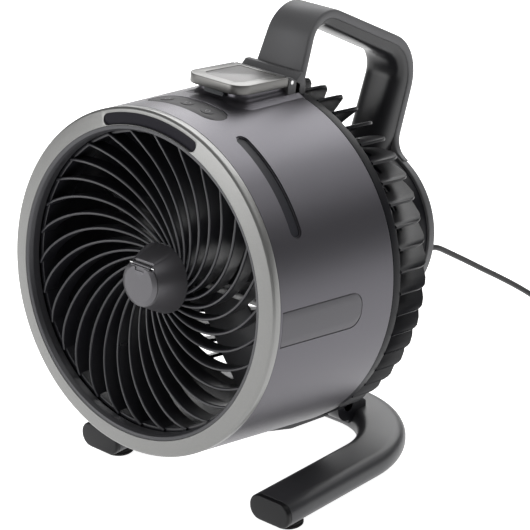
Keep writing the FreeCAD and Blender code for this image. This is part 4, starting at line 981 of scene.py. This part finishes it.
def lead():
    exit_at = HEAD @ Vector((JACK[0], 282, JACK[1]))
    drawn = [Vector(p) for p in LEAD_POINTS] + coil_points()
    route = [exit_at, exit_at + BACK * LEAD_STRAIGHT] + [STAND @ p for p in drawn]
    curve = bpy.data.curves.new("lead_route", "CURVE")
    curve.dimensions = "3D"
    spline = curve.splines.new("NURBS")
    spline.points.add(len(route) - 1)
    for point, at in zip(spline.points, route):
        point.co = (*at, 1)
    spline.order_u = 3
    spline.use_endpoint_u = True
    curve.resolution_u = 5
    guide = bpy.data.objects.new("lead_route", curve)
    line = [v.co.copy() for v in bpy.data.meshes.new_from_object(guide).vertices]
    bpy.data.objects.remove(guide)
    made = piece(shape(tube(line, circle(0.0023, 14))), "lead_line", None, LEAD,
                 ["cord", "cord_coil", "cord_tail"], Matrix.Identity(4), sharp=60)
    ends = [plug(), coil_tie(), wall_adapter(), prongs()]
    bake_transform(made)


def plug():
    """The small plug in the jack, with a ribbed grip that tapers to the lead."""
    profile = [(0, 251.2), (2.7, 251.2), (2.7, 260.2), (4.6, 260.2), (4.6, 263.2)]
    for k in range(4):
        narrower, along = 0.12 * k, 2.4 * k
        for radius, back in ((4.6, 263.4), (4.1, 263.9), (4.1, 264.7), (4.5, 265.2)):
            profile.append((radius - narrower, back + along))
    profile += [(3.7, 274), (3.3, 277), (2.9, 280), (2.6, 282), (0, 282)]
    bm = lathe(profile, 40, closed=False)
    bmesh.ops.translate(bm, verts=bm.verts, vec=(JACK[0], 0, JACK[1]))
    return piece(shape(bm), "plug_grip", "head", LEAD, ["dc_plug"], sharp=40)


def coil_tie():
    """A flat strap round the coil's bundle, which it crosses on the slant."""
    slant = 0.7071
    outer = outline([(34.7, 0.05, 3), (34.7, 14.5, 3), (19.3, 14.5, 3), (19.3, 0.05, 3)], 5)
    inner = outline([(33.9, 0.6, 2.4), (33.9, 13.9, 2.4), (20.1, 13.9, 2.4), (20.1, 0.6, 2.4)], 5)
    rows = []
    for loop, aside in ((outer, -4), (inner, -4), (inner, 4), (outer, 4), (outer, -4)):
        rows.append([COIL + Vector(((aside - p.x) * slant, (aside + p.x) * slant, p.y)) for p in loop])
    bm = grid(rows, wrap=True, capped=False)
    bmesh.ops.remove_doubles(bm, verts=bm.verts, dist=1e-4)
    return piece(shape(bm), "coil_tie", "stand", RUBBER, (), STAND, sharp=40)


def wall_adapter():
    plan = outline([(61.4, 486, 6), (105.4, 486, 6), (105.4, 558, 6), (61.4, 558, 6)], 8)
    rows = []
    for height, shrink in ((0, 2.4), (0.7, 0.8), (2.2, 0), (13.1, 0), (13.3, 0.35), (13.7, 0.35), (13.9, 0),
                           (24.6, 0), (26.2, 0.8), (27, 2.4)):
        narrow, short = 1 - shrink / 22, 1 - shrink / 36
        rows.append([Vector(((p.x - ADAPTER.x) * narrow + ADAPTER.x, (p.y - ADAPTER.y) * short + ADAPTER.y, height))
                     for p in plan])
    relief = []
    for x, radius in ((47, 2.5), (52, 2.9), (57, 3.4), (60, 3.9), (61.6, 4.6)):
        relief.append([Vector((x, TAIL_BACK + y, TAIL_UP + z)) for y, z in circle(radius, 24)])
    made = shape(joined(grid(rows, wrap=True), grid(relief, wrap=True)))
    return piece(made, "wall_adapter", "stand", LEAD, ["power_adapter"], STAND, sharp=40)


def prongs():
    blade = outline([
        (558, 12.7), (572, 12.7, 1.5), (574, 13.9, 0.6), (574, 17.9, 0.6), (572, 19.1, 1.5), (558, 19.1),
    ], 4)
    made = shape(joined(*[prism(blade, low, low + 1.6, side_on) for low in (76.4, 88.8)]))
    return piece(soften(made, 0.25, 2, 50), "plug_blades", "stand", STEEL, ["adapter_prongs"], STAND)


# ---------------------------------------------------------------- what stays as the part made it

KEPT = {
    "duct_shroud": DUCT, "motor_mount": DUCT, "impeller_nut": STEEL, "motor_shaft": STEEL,
    "motor_rotor": STEEL, "motor_stator": STEEL, "front_bearing": BRONZE, "rear_bearing": BRONZE,
    "mist_nozzle": BRONZE, "mist_feed_tube": SOFT, "water_hose": SOFT, "water_tank": CLEAR, "filler_neck": CLEAR,
    "tank_lid_seal": SOFT, "lid_latch": CLEAR, "mist_pump": CLEAR, "battery_pack": CELLS, "main_board": BOARD,
    "button_board": BOARD, "dc_jack": BLACK, "rear_cover_screws": STEEL, "foot_screws": STEEL, "pivot_pin": STEEL,
    "friction_washers": RUBBER,
}


def kept_nodes():
    for name, finish in KEPT.items():
        mesh = frame["nodes"][name].data
        mesh.materials.clear()
        mesh.materials.append(finish)


# ---------------------------------------------------------------- studio

AZIMUTH, ELEVATION, DISTANCE = math.radians(41.434), math.radians(23.525), 1.8
AIM = Vector((0.0633, -0.0725, 0.1997))
# Each light's azimuth and elevation in degrees, distance, width and height in metres, and power in watts.
LIGHTS = {
    "top": (-20, 82, 2.2, 2.2, 1.8, 7),
    "right": (70, 62, 2.0, 0.9, 1.1, 4),
    "front": (-28, 16, 2.3, 1.4, 1.0, 20),
    "rear_right": (155, 38, 2.4, 1.4, 1.2, 8),
    "behind": (206, 35, 2.6, 2.6, 1.9, 60),
}


def orbit(azimuth, elevation, distance):
    """The offset to a point seen from azimuth and elevation, both in radians."""
    level = math.cos(elevation)
    return Vector((math.sin(azimuth) * level, -math.cos(azimuth) * level, math.sin(elevation))) * distance


def facing(thing, target):
    thing.rotation_euler = (target - thing.location).to_track_quat("-Z", "Y").to_euler()


def camera():
    data = bpy.data.cameras.new("camera")
    data.sensor_width = 36
    data.lens = 171.85
    made = bpy.data.objects.new("camera", data)
    bpy.context.scene.collection.objects.link(made)
    made.location = AIM + orbit(AZIMUTH, ELEVATION, DISTANCE)
    facing(made, AIM)
    bpy.context.scene.camera = made


def area_light(name, azimuth, elevation, distance, wide, tall, power):
    data = bpy.data.lights.new(name, "AREA")
    data.shape = "RECTANGLE"
    data.size = wide
    data.size_y = tall
    data.energy = power
    made = bpy.data.objects.new(name, data)
    bpy.context.scene.collection.objects.link(made)
    target = Vector((0, 0, 0.15))
    made.location = target + orbit(math.radians(azimuth), math.radians(elevation), distance)
    facing(made, target)


def studio():
    bm = bmesh.new()
    bmesh.ops.create_grid(bm, x_segments=1, y_segments=1, size=14)
    ground = shape(bm, "ground")
    paper = material("ground_white", (0.9, 0.9, 0.9), 0.9, tint=0.0, grain=0.0, specular=0.1)
    glow = paper.node_tree.nodes["Principled BSDF"]
    glow.inputs["Emission Color"].default_value = (1, 1, 1, 1)
    glow.inputs["Emission Strength"].default_value = 0.95
    ground.data.materials.append(paper)
    world = bpy.data.worlds.new("studio")
    bpy.context.scene.world = world
    world.use_nodes = True
    world.node_tree.nodes["Background"].inputs["Color"].default_value = (1, 1, 1, 1)
    world.node_tree.nodes["Background"].inputs["Strength"].default_value = 0.10
    for name, setting in LIGHTS.items():
        area_light(name, *setting)
    bpy.context.scene.view_settings.view_transform = "Standard"


camera()
lead()
front_ring()
drum()
controls()
level_gauge()
guard()
hub()
impeller()
rear()
handle()
lid()
filler()
hinge_block()
stand()
feet()
pivot()
kept_nodes()
studio()
